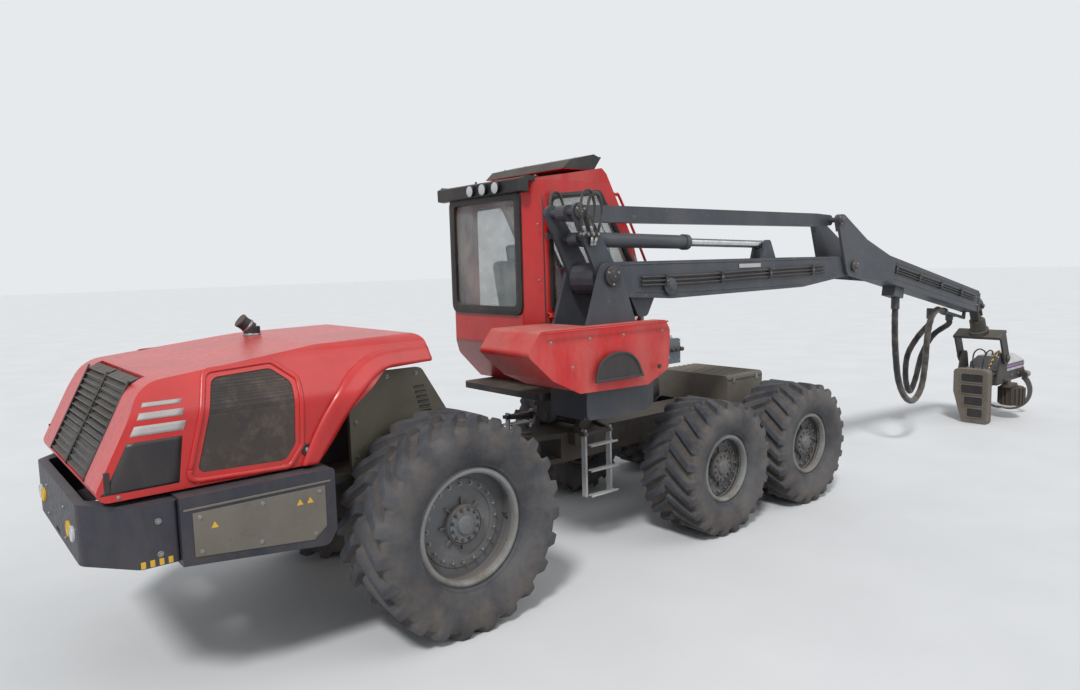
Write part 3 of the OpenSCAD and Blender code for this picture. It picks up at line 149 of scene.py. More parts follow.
def paint(name, color, rough, dust, mud, mud_top, spots, grain, metal=0.0, coat=0.0, shade=.75, chips=None,
          grain_scale=90.0, dust_color=DUST):
    """Painted surface: mottled colour, dust on what faces up, mud low down, chipped spots and fine grain."""
    g = Graph(name)
    col = g.mix(g.patches(1.7, 5, .55, .35, .7), color, tuple(c * shade for c in color))
    if spots:
        col = g.mix(g.patches(14, 6, .7, .58, .72, 0, spots), col, tuple(c * .45 for c in color))
    if chips is not None:
        col = g.mix(g.ramp(g.noise(9, 9, .72, None, .6), .635, .66), col, rgb(*chips))
    up = g.ramp(g.axis(2, "Normal"), .25, .95)
    film = g.math("MULTIPLY", g.math("MULTIPLY", up, g.patches(3.2, 7, .65, .3, .72, .25, 1.0)), dust)
    haze = g.ramp(g.noise(2.3, 8, .7, (1, 1, .35)), .42, .85, 0, dust * .55)
    film = g.math("MAXIMUM", film, haze)
    low = g.ramp(g.axis(2), mud_top, mud_top * .25, 0, 1)
    splash = g.math("MULTIPLY", low, g.patches(5.5, 8, .68, .36, .62, 0, mud))
    col = g.mix(splash, g.mix(film, col, dust_color), MUD)
    r = g.math("ADD", g.math("MULTIPLY", g.math("MAXIMUM", film, splash), .45), rough)
    r = g.math("ADD", r, g.patches(22, 3, .55, .3, .7, -.04, .06))
    n = g.bump(g.noise(4.0, 3), .12, .01)
    if grain:
        n = g.bump(g.noise(grain_scale, 5, .7), grain, .004, n)
    return g.shade(Base_Color=col, Roughness=r, Metallic=metal, Coat_Weight=coat, Coat_Roughness=.18, Normal=n)


def rubber_mat():
    g = Graph("tyre_rubber")
    col = g.mix(g.patches(2.6, 7, .66, .36, .66), rgb(40, 45, 54), rgb(78, 80, 84))
    low = g.ramp(g.axis(2), .5, 0.0, 0, .4)
    col = g.mix(g.math("MULTIPLY", low, g.noise(6, 5)), col, MUD)
    spread = g.node("ShaderNodeAttribute", attribute_name="dust").outputs["Fac"]
    film = g.math("MULTIPLY", spread, g.patches(4.5, 8, .7, .34, .7, .08, .62))
    n = g.bump(g.noise(60, 5, .75), .35, .003, g.bump(g.noise(7, 6, .7), .4, .012))
    return g.shade(Base_Color=g.mix(film, col, rgb(118, 106, 94)), Roughness=.86, Normal=n)


def chrome_mat():
    g = Graph("rod_chrome")
    return g.shade(Base_Color=g.mix(g.patches(12, 6, .55, .4, .75, 0, .5), rgb(205, 207, 210), rgb(150, 146, 140)),
                   Metallic=1.0, Roughness=g.ramp(g.noise(30, 4, .6, (.2, 1, 1)), .3, .7, .14, .3))


def glass_mat():
    g = Graph("pane_glass")
    film = g.patches(2.4, 8, .72, .38, .78)
    g.mat.surface_render_method = "DITHERED"
    return g.shade(Base_Color=g.mix(film, rgb(150, 165, 168), rgb(190, 186, 176)), IOR=1.45,
                   Roughness=g.ramp(film, 0, 1, .04, .22), Alpha=g.ramp(film, 0, 1, .22, .5))


def cloth_mat(name, color, scale=260.0, dust=.3):
    g = Graph(name)
    waves = [g.node("ShaderNodeTexWave", {"Scale": scale, "Distortion": .6, "Vector": g.coord["Object"]},
                    wave_type="BANDS", bands_direction=d).outputs["Fac"] for d in "XZ"]
    weave = g.math("MULTIPLY", *waves)
    col = g.mix(g.ramp(weave, 0, 1, 0, .5), color, tuple(c * .5 for c in color))
    col = g.mix(g.patches(5, 7, .7, .42, .75, 0, dust), col, DUST)
    return g.shade(Base_Color=col, Roughness=.92, Sheen_Weight=.25,
                   Normal=g.bump(g.noise(16, 5), .25, .01, g.bump(weave, .3, .002)))


def perforated_mat():
    g = Graph("mesh_screen")
    cells = g.node("ShaderNodeTexVoronoi", {"Scale": 95, "Randomness": 0.0, "Vector": g.coord["Object"]},
                   feature="F1", distance="CHEBYCHEV")
    hole = g.ramp(cells.outputs["Distance"], .26, .34, 1, 0)
    col = g.mix(g.patches(2, 6, .55, .35, .7), rgb(70, 60, 54), rgb(48, 43, 42))
    col = g.mix(g.patches(6, 7, .7, .5, .75, 0, .5), col, rgb(112, 98, 84))
    # Holes painted near black: painted shade of the dark space behind the screen
    col = g.mix(g.math("MULTIPLY", hole, .75), col, rgb(14, 13, 13))
    return g.shade(Base_Color=col, Roughness=.75, Normal=g.bump(g.math("SUBTRACT", 1.0, hole), .6, .003))


def screen_mat():
    g = Graph("monitor_face")
    return g.shade(Base_Color=g.mix(g.patches(3, 3, .55, .4, .6), rgb(16, 18, 22), rgb(26, 30, 36)), Roughness=.18)


# Paints by key: name, display colour, roughness, dust, mud, height of the mud, spots, grain, and what else differs
RED = (190, 24, 24)
PAINTS = {
    "red": ("red_paint", RED, .36, .22, .12, 1.2, 0, 0,
        dict(coat=.25, shade=.74, dust_color=rgb(190, 140, 128))),
    "red_dusty": ("red_paint_dusty", RED, .5, .5, .15, 1.2, 0, 0,
        dict(coat=.1, shade=.72, chips=(92, 66, 58), dust_color=rgb(196, 168, 156))),
    "crane": ("crane_paint", (58, 62, 70), .48, .45, .2, 1.2, 0, .1,
        dict(shade=.7, chips=(88, 88, 88), dust_color=rgb(128, 124, 120))),
    "bumper": ("bumper_paint", (34, 38, 52), .46, .4, .45, 1.7, .5, .15,
        dict(shade=.7, dust_color=rgb(120, 112, 108))),
    "frame": ("frame_paint", (46, 47, 50), .62, .5, .7, 1.7, .6, .25),
    "dark": ("dark_paint", (34, 36, 42), .55, .4, .5, 1.5, .5, .2),
    "black": ("black_plastic", (24, 24, 27), .5, .35, .2, 1.2, 0, .3, dict(grain_scale=140)),
    "rim": ("rim_paint", (98, 102, 106), .5, .35, .55, 1.6, .7, 0, dict(chips=(112, 82, 60))),
    "rim_edge": ("rim_edge_paint", (124, 128, 128), .5, .4, .6, 1.7, .7, 0, dict(chips=(96, 80, 66))),
    "hub": ("hub_paint", (48, 50, 56), .5, .4, .6, 1.6, .6, .2),
    "box": ("box_paint", (104, 100, 92), .6, .5, .6, 1.6, .6, .2),
    "olive": ("screen_paint", (96, 94, 80), .6, .4, .4, 2, .3, .1),
    "valve": ("valve_paint", (84, 94, 104), .5, .4, .2, 1.2, .4, .1),
    "cover": ("cover_paint", (186, 188, 190), .4, .4, .3, 1.2, 0, 0, dict(chips=(110, 104, 96))),
    "cast": ("worn_casting", (62, 60, 60), .62, .5, .85, 1.2, 0, .4, dict(metal=.3, chips=(120, 96, 76))),
    "steel": ("worn_steel", (150, 150, 150), .42, .4, .7, 1, 0, .2, dict(metal=.85, chips=(118, 88, 66))),
    "grip": ("grip_plastic", (60, 61, 64), .6, .3, 0, 1.2, 0, .35, dict(grain_scale=180)),
    "console": ("console_plastic", (122, 124, 122), .55, .35, 0, 1.2, 0, .3, dict(grain_scale=160)),
    "trim": ("trim_plastic", (182, 172, 146), .6, .3, 0, 1.2, 0, .25, dict(grain_scale=150)),
    "blue": ("blue_plastic", (40, 98, 186), .45, .15, 0, 1.2, 0, 0),
    "yellow": ("yellow_mark", (216, 170, 40), .5, .3, .2, 1.2, .4, 0),
    "purple": ("band_purple", (108, 44, 116), .45, .35, .2, 1.2, .3, 0),
    "slate": ("band_slate", (62, 68, 80), .45, .35, .2, 1.2, .3, 0),
    "silver": ("stripe_silver", (178, 172, 170), .5, .3, .1, 1.2, .5, 0, dict(chips=(176, 60, 52))),
    # Dark seams, print and panels; on the screen slots and the crane cover's arch it is painted shade
    "decal": ("decal_dark", (34, 30, 34), .42, .22, .1, 1.2, .5, 0, dict(chips=(104, 84, 76))),
    "lamp": ("lamp_glass", (196, 200, 204), .12, .3, 0, 1.2, 0, 0, dict(metal=.2)),
}
M = {key: paint(name, rgb(*color), *numbers[:6], **dict(*numbers[6:]))
     for key, (name, color, *numbers) in PAINTS.items()}
M.update(rubber=rubber_mat(), chrome=chrome_mat(), glass=glass_mat(), mesh=perforated_mat(), screen=screen_mat(),
         seat=cloth_mat("seat_cloth", rgb(56, 53, 56)), sleeve=cloth_mat("hose_sleeve", rgb(34, 35, 38), 180, .45))
# CAD nodes by material; tyres are rubber, and the rest are rims
NODE_MATS = {
    "frame": "front_frame bogie_boxes rear_frame levelling_ring", "box": "front_box saw_box",
    "dark": "engine_block exhaust_stack levelling_cradle turntable tilt_yoke head_frame",
    "bumper": "rear_bumper side_boxes", "olive": "wheel_screens", "black": "rear_grille", "mesh": "intake_screens",
    "red": "hood_shell cab_shell cab_door", "red_dusty": "cab_roof crane_cover", "glass": "cab_glass door_glass",
    "seat": "operator_seat", "console": "cab_consoles", "valve": "valve_box", "cover": "head_cover",
    "crane": "crane_base main_boom rocker parallel_link stick extension lift_tube luff_tube",
    "chrome": "lift_rod luff_rod", "cast": "tip_link link_cross rotator roller_left roller_right",
    "steel": "saw_bar knife_left knife_right", "sleeve": "hose_loop_a hose_loop_b",
}
for name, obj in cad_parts.items():
    keys = [key for key, names in NODE_MATS.items() if name in names.split()]
    obj.data.materials.clear()
    obj.data.materials.append(M[keys[0] if keys else "rubber" if name.startswith("tyre_") else "rim"])


# Frames and points
UP = Vector((0, 0, 1))
shift = Matrix.Translation


def turned(degrees, axis):
    return Matrix.Rotation(radians(degrees), 4, axis)


def spun(angle):
    return Matrix.Rotation(angle, 4, "Z")


def aim(p, n):
    """Frame at p with +Z along n."""
    return shift(p) @ Vector(n).to_track_quat("Z", "Y").to_matrix().to_4x4()


def outwards(p, s):
    """Frame at p with +Z along +Y or -Y."""
    return shift(p) @ turned(-90 * s, "X")


def axes(a, b, c, p):
    """Frame with its three axes at p."""
    return Matrix((*zip(a, b, c, p), (0, 0, 0, 1)))


def upright(y, s):
    """Frame at y for a drawing in x and z, with its depth along s."""
    return axes((1, 0, 0), (0, 0, 1), (0, s, 0), (0, y, 0))


def plane(o, u, v):
    """Frame with local x along u, local y along v and local z out of the surface."""
    u, v = Vector(u).normalized(), Vector(v).normalized()
    return axes(u, v, u.cross(v), o)


def polar(r, a, z=0.0):
    return Vector((r * cos(a), r * sin(a), z))


def around(n):
    return [2 * pi * i / n for i in range(n)]


def between(p, q, n):
    """n + 1 points on a line."""
    return [tuple(a + (c - a) * k / n for a, c in zip(p, q)) for k in range(n + 1)]


def grid(n, m, last_to_first=False, around_row=True):
    """Faces between n rows of m points."""
    return [(i * m + j, i * m + (j + 1) % m, (i + 1) % n * m + (j + 1) % m, (i + 1) % n * m + j)
            for i in range(n if last_to_first else n - 1) for j in range(m if around_row else m - 1)]


# Mesh helpers; angles from which edges are bevelled, and stay sharp on a tyre
BEVEL_FROM, CREASE_FROM = radians(40), radians(38)


class Build:
    """Collects solids of one piece, given in its own frame, each with its material, into one mesh."""

    def __init__(self, name, body, slot=None, at=None):
        self.name, self.body, self.slot, self.at = name, body, slot, at or Matrix()
        self.verts, self.faces, self.mats, self.smooth = [], [], [], []
        self.keys = []

    def add(self, verts, faces, mat, smooth=False, at=None):
        if mat not in self.keys:
            self.keys.append(mat)
        base, at = len(self.verts), self.at @ (at or Matrix())
        self.verts += [at @ Vector(v) for v in verts]
        self.faces += [[base + i for i in f] for f in faces]
        self.mats += [self.keys.index(mat)] * len(faces)
        self.smooth += [smooth] * len(faces)

    def box(self, lo, hi, mat, at=None):
        (a, b, c), (d, e, f) = lo, hi
        v = [(a, b, c), (d, b, c), (d, e, c), (a, e, c), (a, b, f), (d, b, f), (d, e, f), (a, e, f)]
        sides = [(0, 3, 2, 1), (4, 5, 6, 7), (0, 1, 5, 4), (1, 2, 6, 5), (2, 3, 7, 6), (3, 0, 4, 7)]
        self.add(v, sides, mat, False, at)

    def block(self, middle, half, mat, at=None):
        self.box([a - b for a, b in zip(middle, half)], [a + b for a, b in zip(middle, half)], mat, at)

    def rod(self, p, q, r, mat, sides=20):
        p, q = Vector(p), Vector(q)
        at = aim(p, q - p)
        v = [polar(r, a, z) for z in (0, (q - p).length) for a in around(sides)]
        self.add(v, grid(2, sides), mat, True, at)
        self.add(v, [list(range(sides))[::-1], list(range(sides, 2 * sides))], mat, False, at)

    def lathe(self, rows, mat, at, sides=48, smooth=True):
        """Turns the (radius, height) rows about local Z."""
        n = len(rows)
        v = [polar(r, a, z) for a in around(sides) for r, z in rows]
        f = [(i * n + j, ((i + 1) % sides) * n + j, ((i + 1) % sides) * n + j + 1, i * n + j + 1)
             for i in range(sides) for j in range(n - 1)]
        self.add(v, f, mat, smooth, at)

    def slab(self, outline, depth, mat, at=None):
        """Prism of a drawing in local XY, from z = 0 to depth."""
        n = len(outline)
        f = [list(range(n))[::-1], list(range(n, 2 * n))] + grid(2, n)
        self.add([(x, y, z) for z in (0, depth) for x, y in outline], f, mat, False, at)

    def tube(self, points, r, mat, sides=12, first=None, last=None):
        """Round tube along the points; r is a radius or a function of point and angle."""
        pts, steady = directions(points, first, last)
        v = [p + (s * cos(a) + u * sin(a)) * (r(i, a) if callable(r) else r)
             for i, (p, (s, u)) in enumerate(zip(pts, steady)) for a in around(sides)]
        n = len(pts)
        ends = [list(range(sides))[::-1], list(range((n - 1) * sides, n * sides))]
        self.add(v, grid(n, sides) + ends, mat, True)

    def done(self, bevel=0.0, segments=2, crease=None):
        mesh = bpy.data.meshes.new(self.name)
        mesh.from_pydata([tuple(v) for v in self.verts], [], self.faces)
        for k in self.keys:
            mesh.materials.append(M[k])
        mesh.polygons.foreach_set("material_index", self.mats)
        mesh.polygons.foreach_set("use_smooth", self.smooth)
        bm = bmesh.new()
        bm.from_mesh(mesh)
        bmesh.ops.recalc_face_normals(bm, faces=bm.faces)
        for e in bm.edges if crease else ():
            e.smooth = len(e.link_faces) < 2 or e.calc_face_angle(0) < crease
        bm.to_mesh(mesh)
        bm.free()
        obj = put(self.name, mesh)
        if bevel:
            mod = obj.modifiers.new("edge", "BEVEL")
            mod.width, mod.segments, mod.limit_method = bevel, segments, "ANGLE"
            mod.angle_limit = BEVEL_FROM
        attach(obj, self.body)
        return obj


def directions(points, first=None, last=None):
    """The path's points, and two steady vectors across it at each."""
    pts = [Vector(p) for p in points]
    k = len(pts)
    dirs = [(pts[min(k - 1, i + 1)] - pts[max(0, i - 1)]).normalized() for i in range(k)]
    dirs[0] = Vector(first) if first else dirs[0]
    dirs[-1] = Vector(last) if last else dirs[-1]
    side = dirs[0].cross(Vector((.05, 1, .03))).normalized()
    out = []
    for d in dirs:
        side = (side - d * side.dot(d)).normalized()
        out.append((side, side.cross(d)))
    return pts, out


def spline(points, per):
    """Smooth route through the points, the same as in the solids."""
    pts = [Vector(p) for p in points]
    k = len(pts) - 1
    out = []
    for i in range(k):
        a, b, c, d = pts[max(0, i - 1)], pts[i], pts[min(k, i + 1)], pts[min(k, i + 2)]
        for j in range(per):
            t = j / per
            out.append(.5 * ((2 * b) + (c - a) * t + (2 * a - 5 * b + 4 * c - d) * t ** 2
                             + (3 * b - a - 3 * c + d) * t ** 3))
    return out + [pts[k]]


def path_length(pts):
    return sum((b - a).length for a, b in zip(pts, pts[1:]))


# Hose loops, on the points of the solids
LOOP_A = [
    (1.5, 0, 2.0), (1.5, 0, 1.8), (1.53, 0, 1.45), (1.64, 0, 1.0), (1.86, 0, .72),
    (2.12, 0, .64), (2.36, 0, .8), (2.47, 0, 1.15), (2.51, 0, 1.5), (2.61, 0, 1.78),
    (2.8, 0, 1.91), (2.92, 0, 1.9), (3.02, 0, 1.881),
]
LOOP_B = [
    (3.06, .2, 1.76), (3.06, .21, 1.68), (3.08, .4, 1.45), (3.11, .56, 1.15),
    (3.2, .62, .78), (3.39, .64, .54), (3.56, .63, .72), (3.66, .58, 1.12),
    (3.71, .43, 1.44), (3.73, .215, 1.62), (3.73, .2, 1.69),
]


def hose_loop(name, rows, body, node, last):
    pts = spline([(BOOM_B[0] + x, CRANE_Y + y, z) for x, y, z in rows], 8)

    def rad(i, a):
        """Thinner between the sleeve's wraps, and even at the ends."""
        wrap = .5 + .5 * cos(i * 1.9 + 2 * a)
        return HOSE_D / 2 * (.93 + .06 * wrap * (1 if 2 < i < len(pts) - 3 else 0))

    b = Build(name, body, "hose_sleeve")
    b.tube(pts, rad, "sleeve", 20, (0, 0, -1), last)
    obj = b.done()
    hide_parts(node)


hose_loop("hose_bundle_a", LOOP_A, "stick", "hose_loop_a", (cos(STICK_PITCH), 0, sin(STICK_PITCH)))
hose_loop("hose_bundle_b", LOOP_B, "extension", "hose_loop_b", (0, 0, 1))


def hexagon(r):
    return [tuple(polar(r, a).xy) for a in around(6)]


def bolt(b, p, n, r, h, mat="steel"):
    """Washer, hexagon and stud end."""
    at = aim(p, n)
    b.lathe([(0, -r * .2), (r * 1.45, -r * .2), (r * 1.45, r * .2), (0, r * .2)], mat, at, 16, False)
    b.slab(hexagon(r), h * 1.1, mat, at)
    b.lathe([(r * .5, 0), (r * .5, h * 1.5), (0, h * 1.55)], mat, at, 10)


def bolts(b, y, s, r, h, spots):
    """Bolts at x, z spots of a face at y that looks along s."""
    for x, z in spots:
        bolt(b, (x, y, z), (0, s, 0), r, h)


def bolt_circle(b, at, radius, z, n, r, h, start=0.0, mat="steel"):
    for a in around(n):
        bolt(b, at @ polar(radius, a + start, z), at.to_3x3() @ UP, r, h, mat)


# Wheels: tag, x, half track, radius, half width, rim's radius, disc's offset
WHEELS = [("rear", REAR_X, 1.1, .825, .32, .45, .06), ("mid", MID_X, 1.06, .67, .34, .345, .11),
          ("front", FRONT_X, 1.06, .67, .34, .345, .11)]
LUGS, LUG_H = 23, .055
# Along a pitch: place and height of the lug; across half a tyre: place, share of the side's height, of the lug's
LUG_LINE = list(zip((0, .035, .1, .13, .2, .29, .38, .45, .48, .545, .58, .72, .86),
                    (0, .12, .88, 1, 1, 1, 1, 1, .88, .12, 0, 0, 0)))
TYRE_ROWS = [
    (.7, 0, 0), (.76, .02, 0), (.8, .06, 0), (.8, .09, 0), (.84, .13, 0), (.9, .25, 0), (.955, .42, 0),
    (.98, .6, 0), (.985, .72, 0), (.975, .8, .15), (.945, .88, .45), (.92, .95, .8), (.86, 1, 1), (.7, 1.005, 1),
    (.5, 1.01, 1), (.3, 1.012, 1), (.12, 1.014, 1), (.05, 1.014, .9), (.02, 1.014, 0),
]


def tyre(tag, at, radius, half, rim_r, s):
    foot = radius - LUG_H
    rows = [(-w, f, k) for w, f, k in TYRE_ROWS] + TYRE_ROWS[::-1]
    verts, dust = [], []
    for w, f, k in rows:
        pitches = min(1, max(0, (abs(w) - .08) / .78)) + (.5 if w > 0 else 0)
        for i in range(LUGS):
            for u, h in LUG_LINE:
                a = 2 * pi * (i + u + pitches - .29) / LUGS + s * pi / 2
                r = rim_r + (foot - rim_r) * f + LUG_H * k * h
                wobble = noise.noise(Vector((3 * cos(a), 3 * sin(a), 5 * w + 9 * s))) * .003
                r = min(r + (wobble if .1 < f < .99 else 0), radius - .0005)
                verts.append(at @ polar(r, a, w * half))
                dust.append((.75 if f < .9 else .95) * (1 - .8 * k * h if f > .8 else 1) * min(1, .35 + f))
    b = Build("tread_" + tag, "wheel_" + tag, "tyre")
    b.add(verts, grid(len(rows), LUGS * len(LUG_LINE)), "rubber", True)
    obj = b.done(crease=CREASE_FROM)
    obj.data.attributes.new("dust", "FLOAT", "POINT").data.foreach_set("value", dust)
    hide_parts("tyre_" + tag)


def rim_parts(tag, at, half, rim_r, disc):
    b = Build("rim_fittings_" + tag, "wheel_" + tag, "rim_paint")
    e = half * .72
    b.lathe([(rim_r - x, e + z) for x, z in ((.05, -.035), (.047, .001), (.038, .015), (.024, .018), (.008, .007),
                                             (.004, -.004))], "rim_edge", at, 96)
    b.lathe([(rim_r - x, z) for x, z in ((.031, e - .058), (.036, e - .075), (.036, disc + .06),
                                         (.031, disc + .045))], "rim", at, 96)
    # Ring of nuts
    ring_r = (rim_r - .03 + .15) / 2 + .02
    z = disc + .0265
    b.lathe([(ring_r + x, z + dz) for x, dz in ((.034, -.004), (.034, .006), (-.034, .01), (-.034, -.002))],
            "rim", at, 72, False)
    bolt_circle(b, at, ring_r, z + .009, 20 if rim_r > .4 else 16, .013, .016)
    # Hub with its bolts and cap
    bolt_circle(b, at, .117, disc + .093, 12, .01, .01, pi / 12, "hub")
    b.lathe([(.15, disc + .086), (.146, disc + .0925), (.138, disc + .096)], "hub", at, 64)
    b.lathe([(.076, disc + .094), (.074, disc + .112), (.062, disc + .12), (0, disc + .123)], "rim", at, 48)
    bolt_circle(b, at, .05, disc + .119, 3, .006, .006, .4)
    # Inflation valve
    v0, v1 = (at @ Vector((rim_r - x, 0, disc + z)) for x, z in ((.06, .022), (.07, .075)))
    b.rod(v0, v1, .007, "steel", 12)
    b.rod(v1, v1 + (v1 - v0).normalized() * .022, .009, "black", 12)
    # Hub's ribs
    for a in around(8):
        b.box((.15, -.006, disc + .026), (.2, .006, disc + .052), "rim", at @ spun(a))
    b.done()


for side, s in (("_left", 1), ("_right", -1)):
    for tag, x, track, radius, half, rim_r, disc in WHEELS:
        at = outwards((x, s * track, radius), s)
        tyre(tag + side, at, radius, half, rim_r, s)
        rim_parts(tag + side, at, half, rim_r, disc)


# Hood
HOOD_BACK, HOOD_LOW = -7.01, 1.44


def hood_rear_x(z):
    return HOOD_BACK + (z - HOOD_LOW) / 2


def hood_y(z):
    """Half width of the hood at a height: upright side, arc, sloping top."""
    if z <= 1.849:
        return 1.0
    if z >= 1.9447:
        return .9758 - (z - 1.9447) * .5429
    return .8 + sqrt(.04 - (z - 1.849) ** 2)


def inset(rows, t):
    """Moves each edge of a drawing inwards."""
    out, n = [], len(rows)
    area = sum(rows[i][0] * rows[(i + 1) % n][1] - rows[(i + 1) % n][0] * rows[i][1] for i in range(n))
    sign = 1 if area > 0 else -1
    for i in range(n):
        a, p, q = (Vector(rows[k % n][:2]) for k in (i - 1, i, i + 1))
        d0, d1 = (p - a).normalized(), (q - p).normalized()
        n0, n1 = Vector((-d0.y, d0.x)) * sign, Vector((-d1.y, d1.x)) * sign
        m = (n0 + n1).normalized()
        out.append(tuple(p + m * (t / max(.2, m.dot(n0)))))
    return out


def rounded(rows, steps=4):
    """Drawing with its third values as corner radii, as points."""
    out, n = [], len(rows)
    for i in range(n):
        a, p, q = (Vector(rows[k % n][:2]) for k in (i - 1, i, i + 1))
        d0, d1 = (a - p).normalized(), (q - p).normalized()
        half = acos(max(-1, min(1, d0.dot(d1)))) / 2
        cut = min(rows[i][2] / tan(half), (a - p).length * .49, (q - p).length * .49)
        s0, s1 = p + d0 * cut, p + d1 * cut
        for k in range(steps + 1):
            t = k / steps
            out.append(tuple(s0 * (1 - t) ** 2 + p * 2 * t * (1 - t) + s1 * t * t))
    return out


def moved(rows, t, r, steps=5):
    """Drawing moved inwards by t, with corners rounded to r."""
    return rounded([(x, y, r) for x, y in inset(rows, t)], steps)


def smooth(rows, per):
    """Smooth row of x, z points through a few."""
    return [(p.x, p.z) for p in spline([(x, 0, z) for x, z in rows], per)]


SKIN_STEP = .03


def side_strip(b, inner, outer, proud, mat, s, across=6, sink=.004):
    """Skin between two rows of x, z points that stands off the hood's side, with edges that turn in."""
    both = [i + o for i, o in zip(inner, outer)]
    rows, pairs = [], both[:1]
    for p, q in zip(both, both[1:]):
        n = ceil(max(hypot(q[0] - p[0], q[1] - p[1]), hypot(q[2] - p[2], q[3] - p[3])) / SKIN_STEP) or 1
        pairs += between(p, q, n)[1:]
    for x0, z0, x1, z1 in pairs:
        row = [(x0, -sink, z0)]
        for k in range(across + 1):
            t = k / across
            row.append((x0 + (x1 - x0) * t, proud * min(1, 6 * min(t, 1 - t) + .55), z0 + (z1 - z0) * t))
        row.append((x1, -sink, z1))
        rows.append([(x, s * (hood_y(z) + d), z) for x, d, z in row])
    n, m = len(rows), len(rows[0])
    ends = [list(range(m)), list(range((n - 1) * m, n * m))]
    b.add([p for r in rows for p in r], grid(n, m, False, False) + ends, mat, True)


INTAKE = [(-6.42, 1.52), (-5.86, 1.5), (-5.79, 1.6), (-5.77, 2.01), (-5.89, 2.11), (-6.27, 2.09)]
MARK_PROUD, MARK_GAP = .0022, .05
b = Build("hood_side_fittings", "hood", "red_paint")
d = Build("hood_marks", "hood")
for s in (-1, 1):
    # Flared band around the wheel arch
    side_strip(b, smooth([(-5.64, 1.444), (-5.53, 1.58), (-5.4, 1.755), (-5.23, 1.93), (-5.06, 2.02),
                          (-4.86, 2.034), (-4.676, 2.04)], 5),
               smooth([(-5.76, 1.444), (-5.68, 1.61), (-5.56, 1.8), (-5.38, 2.01), (-5.14, 2.135),
                       (-4.88, 2.16), (-4.676, 2.16)], 5), .036, "red", s)
    # Raised frame around the intake, and the seam bar in it
    out, mid = moved(INTAKE, -.062, .07), moved(INTAKE, -.03, .05)
    side_strip(b, mid + mid[:1], out + out[:1], .014, "red", s, 4)
    b.block((-6.1, s * .982, 1.675), (.006, .004, .145), "black")
    # Latch at the intake's lower front
    at = outwards((-5.716, s * .998, 1.545), s) @ Matrix.Diagonal((1, 1.35, 1, 1))
    b.lathe([(.034, 0), (.034, .01), (.028, .014), (.026, .009), (0, .009)], "black", at, 40)
    b.lathe([(.014, .004), (.013, .015), (0, .016)], "steel", at, 20)
    # Stripes of growing height above a bare dark panel
    for z0, z1 in ((1.965, 1.99), (1.895, 1.935), (1.805, 1.862)):
        side_strip(d, between((hood_rear_x(z0) + MARK_GAP, z0), (hood_rear_x(z1) + MARK_GAP, z1), 3),
                   between((-6.48, z0), (-6.462, z1), 3), MARK_PROUD, "silver", s, 6, 0)
    z0, z1 = 1.485, 1.77
    edge = between((hood_rear_x(z0) + MARK_GAP, z0), (hood_rear_x(z1) + MARK_GAP, z1), 6)
    side_strip(d, [(HOOD_BACK + .055, z0)] + edge[1:], between((-6.525, z0), (-6.489, z1), 6),
               MARK_PROUD, "decal", s, 6, 0)
    # Handle and bolts of the side panel
    b.block((-6.915, s * 1.001, 1.56), (.015, .006, .06), "black")
    bolts(b, s * 1.001, s, .008, .006, ((-6.86, 1.462), (-6.42, 1.462), (-5.88, 1.462)))
b.done(.0015, 1)
d.done()

# Rear grille's louvres, each with a lighter tube along its edge as a painted highlight, wrapping over the top
LOUVRES, LOUVRE_PITCH, LOUVRE_HALF, LOUVRE_PARTS = 14, .0425, .618, 14
b = Build("louvres", "hood")
for i in range(LOUVRES):
    z = 1.512 + i * LOUVRE_PITCH
    x = hood_rear_x(z)
    blade = [(x + .01, z), (x + .075, z + .03), (x + .078, z + .034), (x + .012, z + .0085)]
    for y0, y1 in ((-LOUVRE_HALF, -.016), (.016, LOUVRE_HALF)):
        v = [(px, y0 + (y1 - y0) * k / LOUVRE_PARTS, pz + .002 * sin(k * 2.1 + i))
             for k in range(LOUVRE_PARTS + 1) for px, pz in blade]
        ends = [(0, 1, 2, 3), tuple(LOUVRE_PARTS * 4 + j for j in range(4))]
        b.add(v, grid(LOUVRE_PARTS + 1, 4) + ends, "black")
        # Lighter slate tube along the blade's edge: painted highlight
        b.tube(between((x + .0095, y0, z + .007), (x + .0095, y1, z + .007), 4), .0042, "slate", 8)
for y in (-.627, 0, .627):
    b.tube([(hood_rear_x(z) + .004, y, z) for z in (1.505, 1.7, 1.9, 2.09)], .008, "black", 10)
b.done()

# Exhaust cap, clamp and weld rings
b = Build("exhaust_fittings", "hood", "dark_paint")
top = shift((-5.53, .43, 2.28))
at = top @ turned(-50, "Y")
b.lathe([(.057, .03), (.06, .033), (.06, .05), (.057, .053)], "steel", at, 40)
b.lathe([(.0555, .1), (.059, .104), (.059, .1215), (.05, .1225), (.046, .112), (0, .106)], "cast", at, 40)
b.lathe([(.067, -.062), (.07, -.056), (.07, -.04), (.067, -.034)], "steel", top, 40)
b.done()

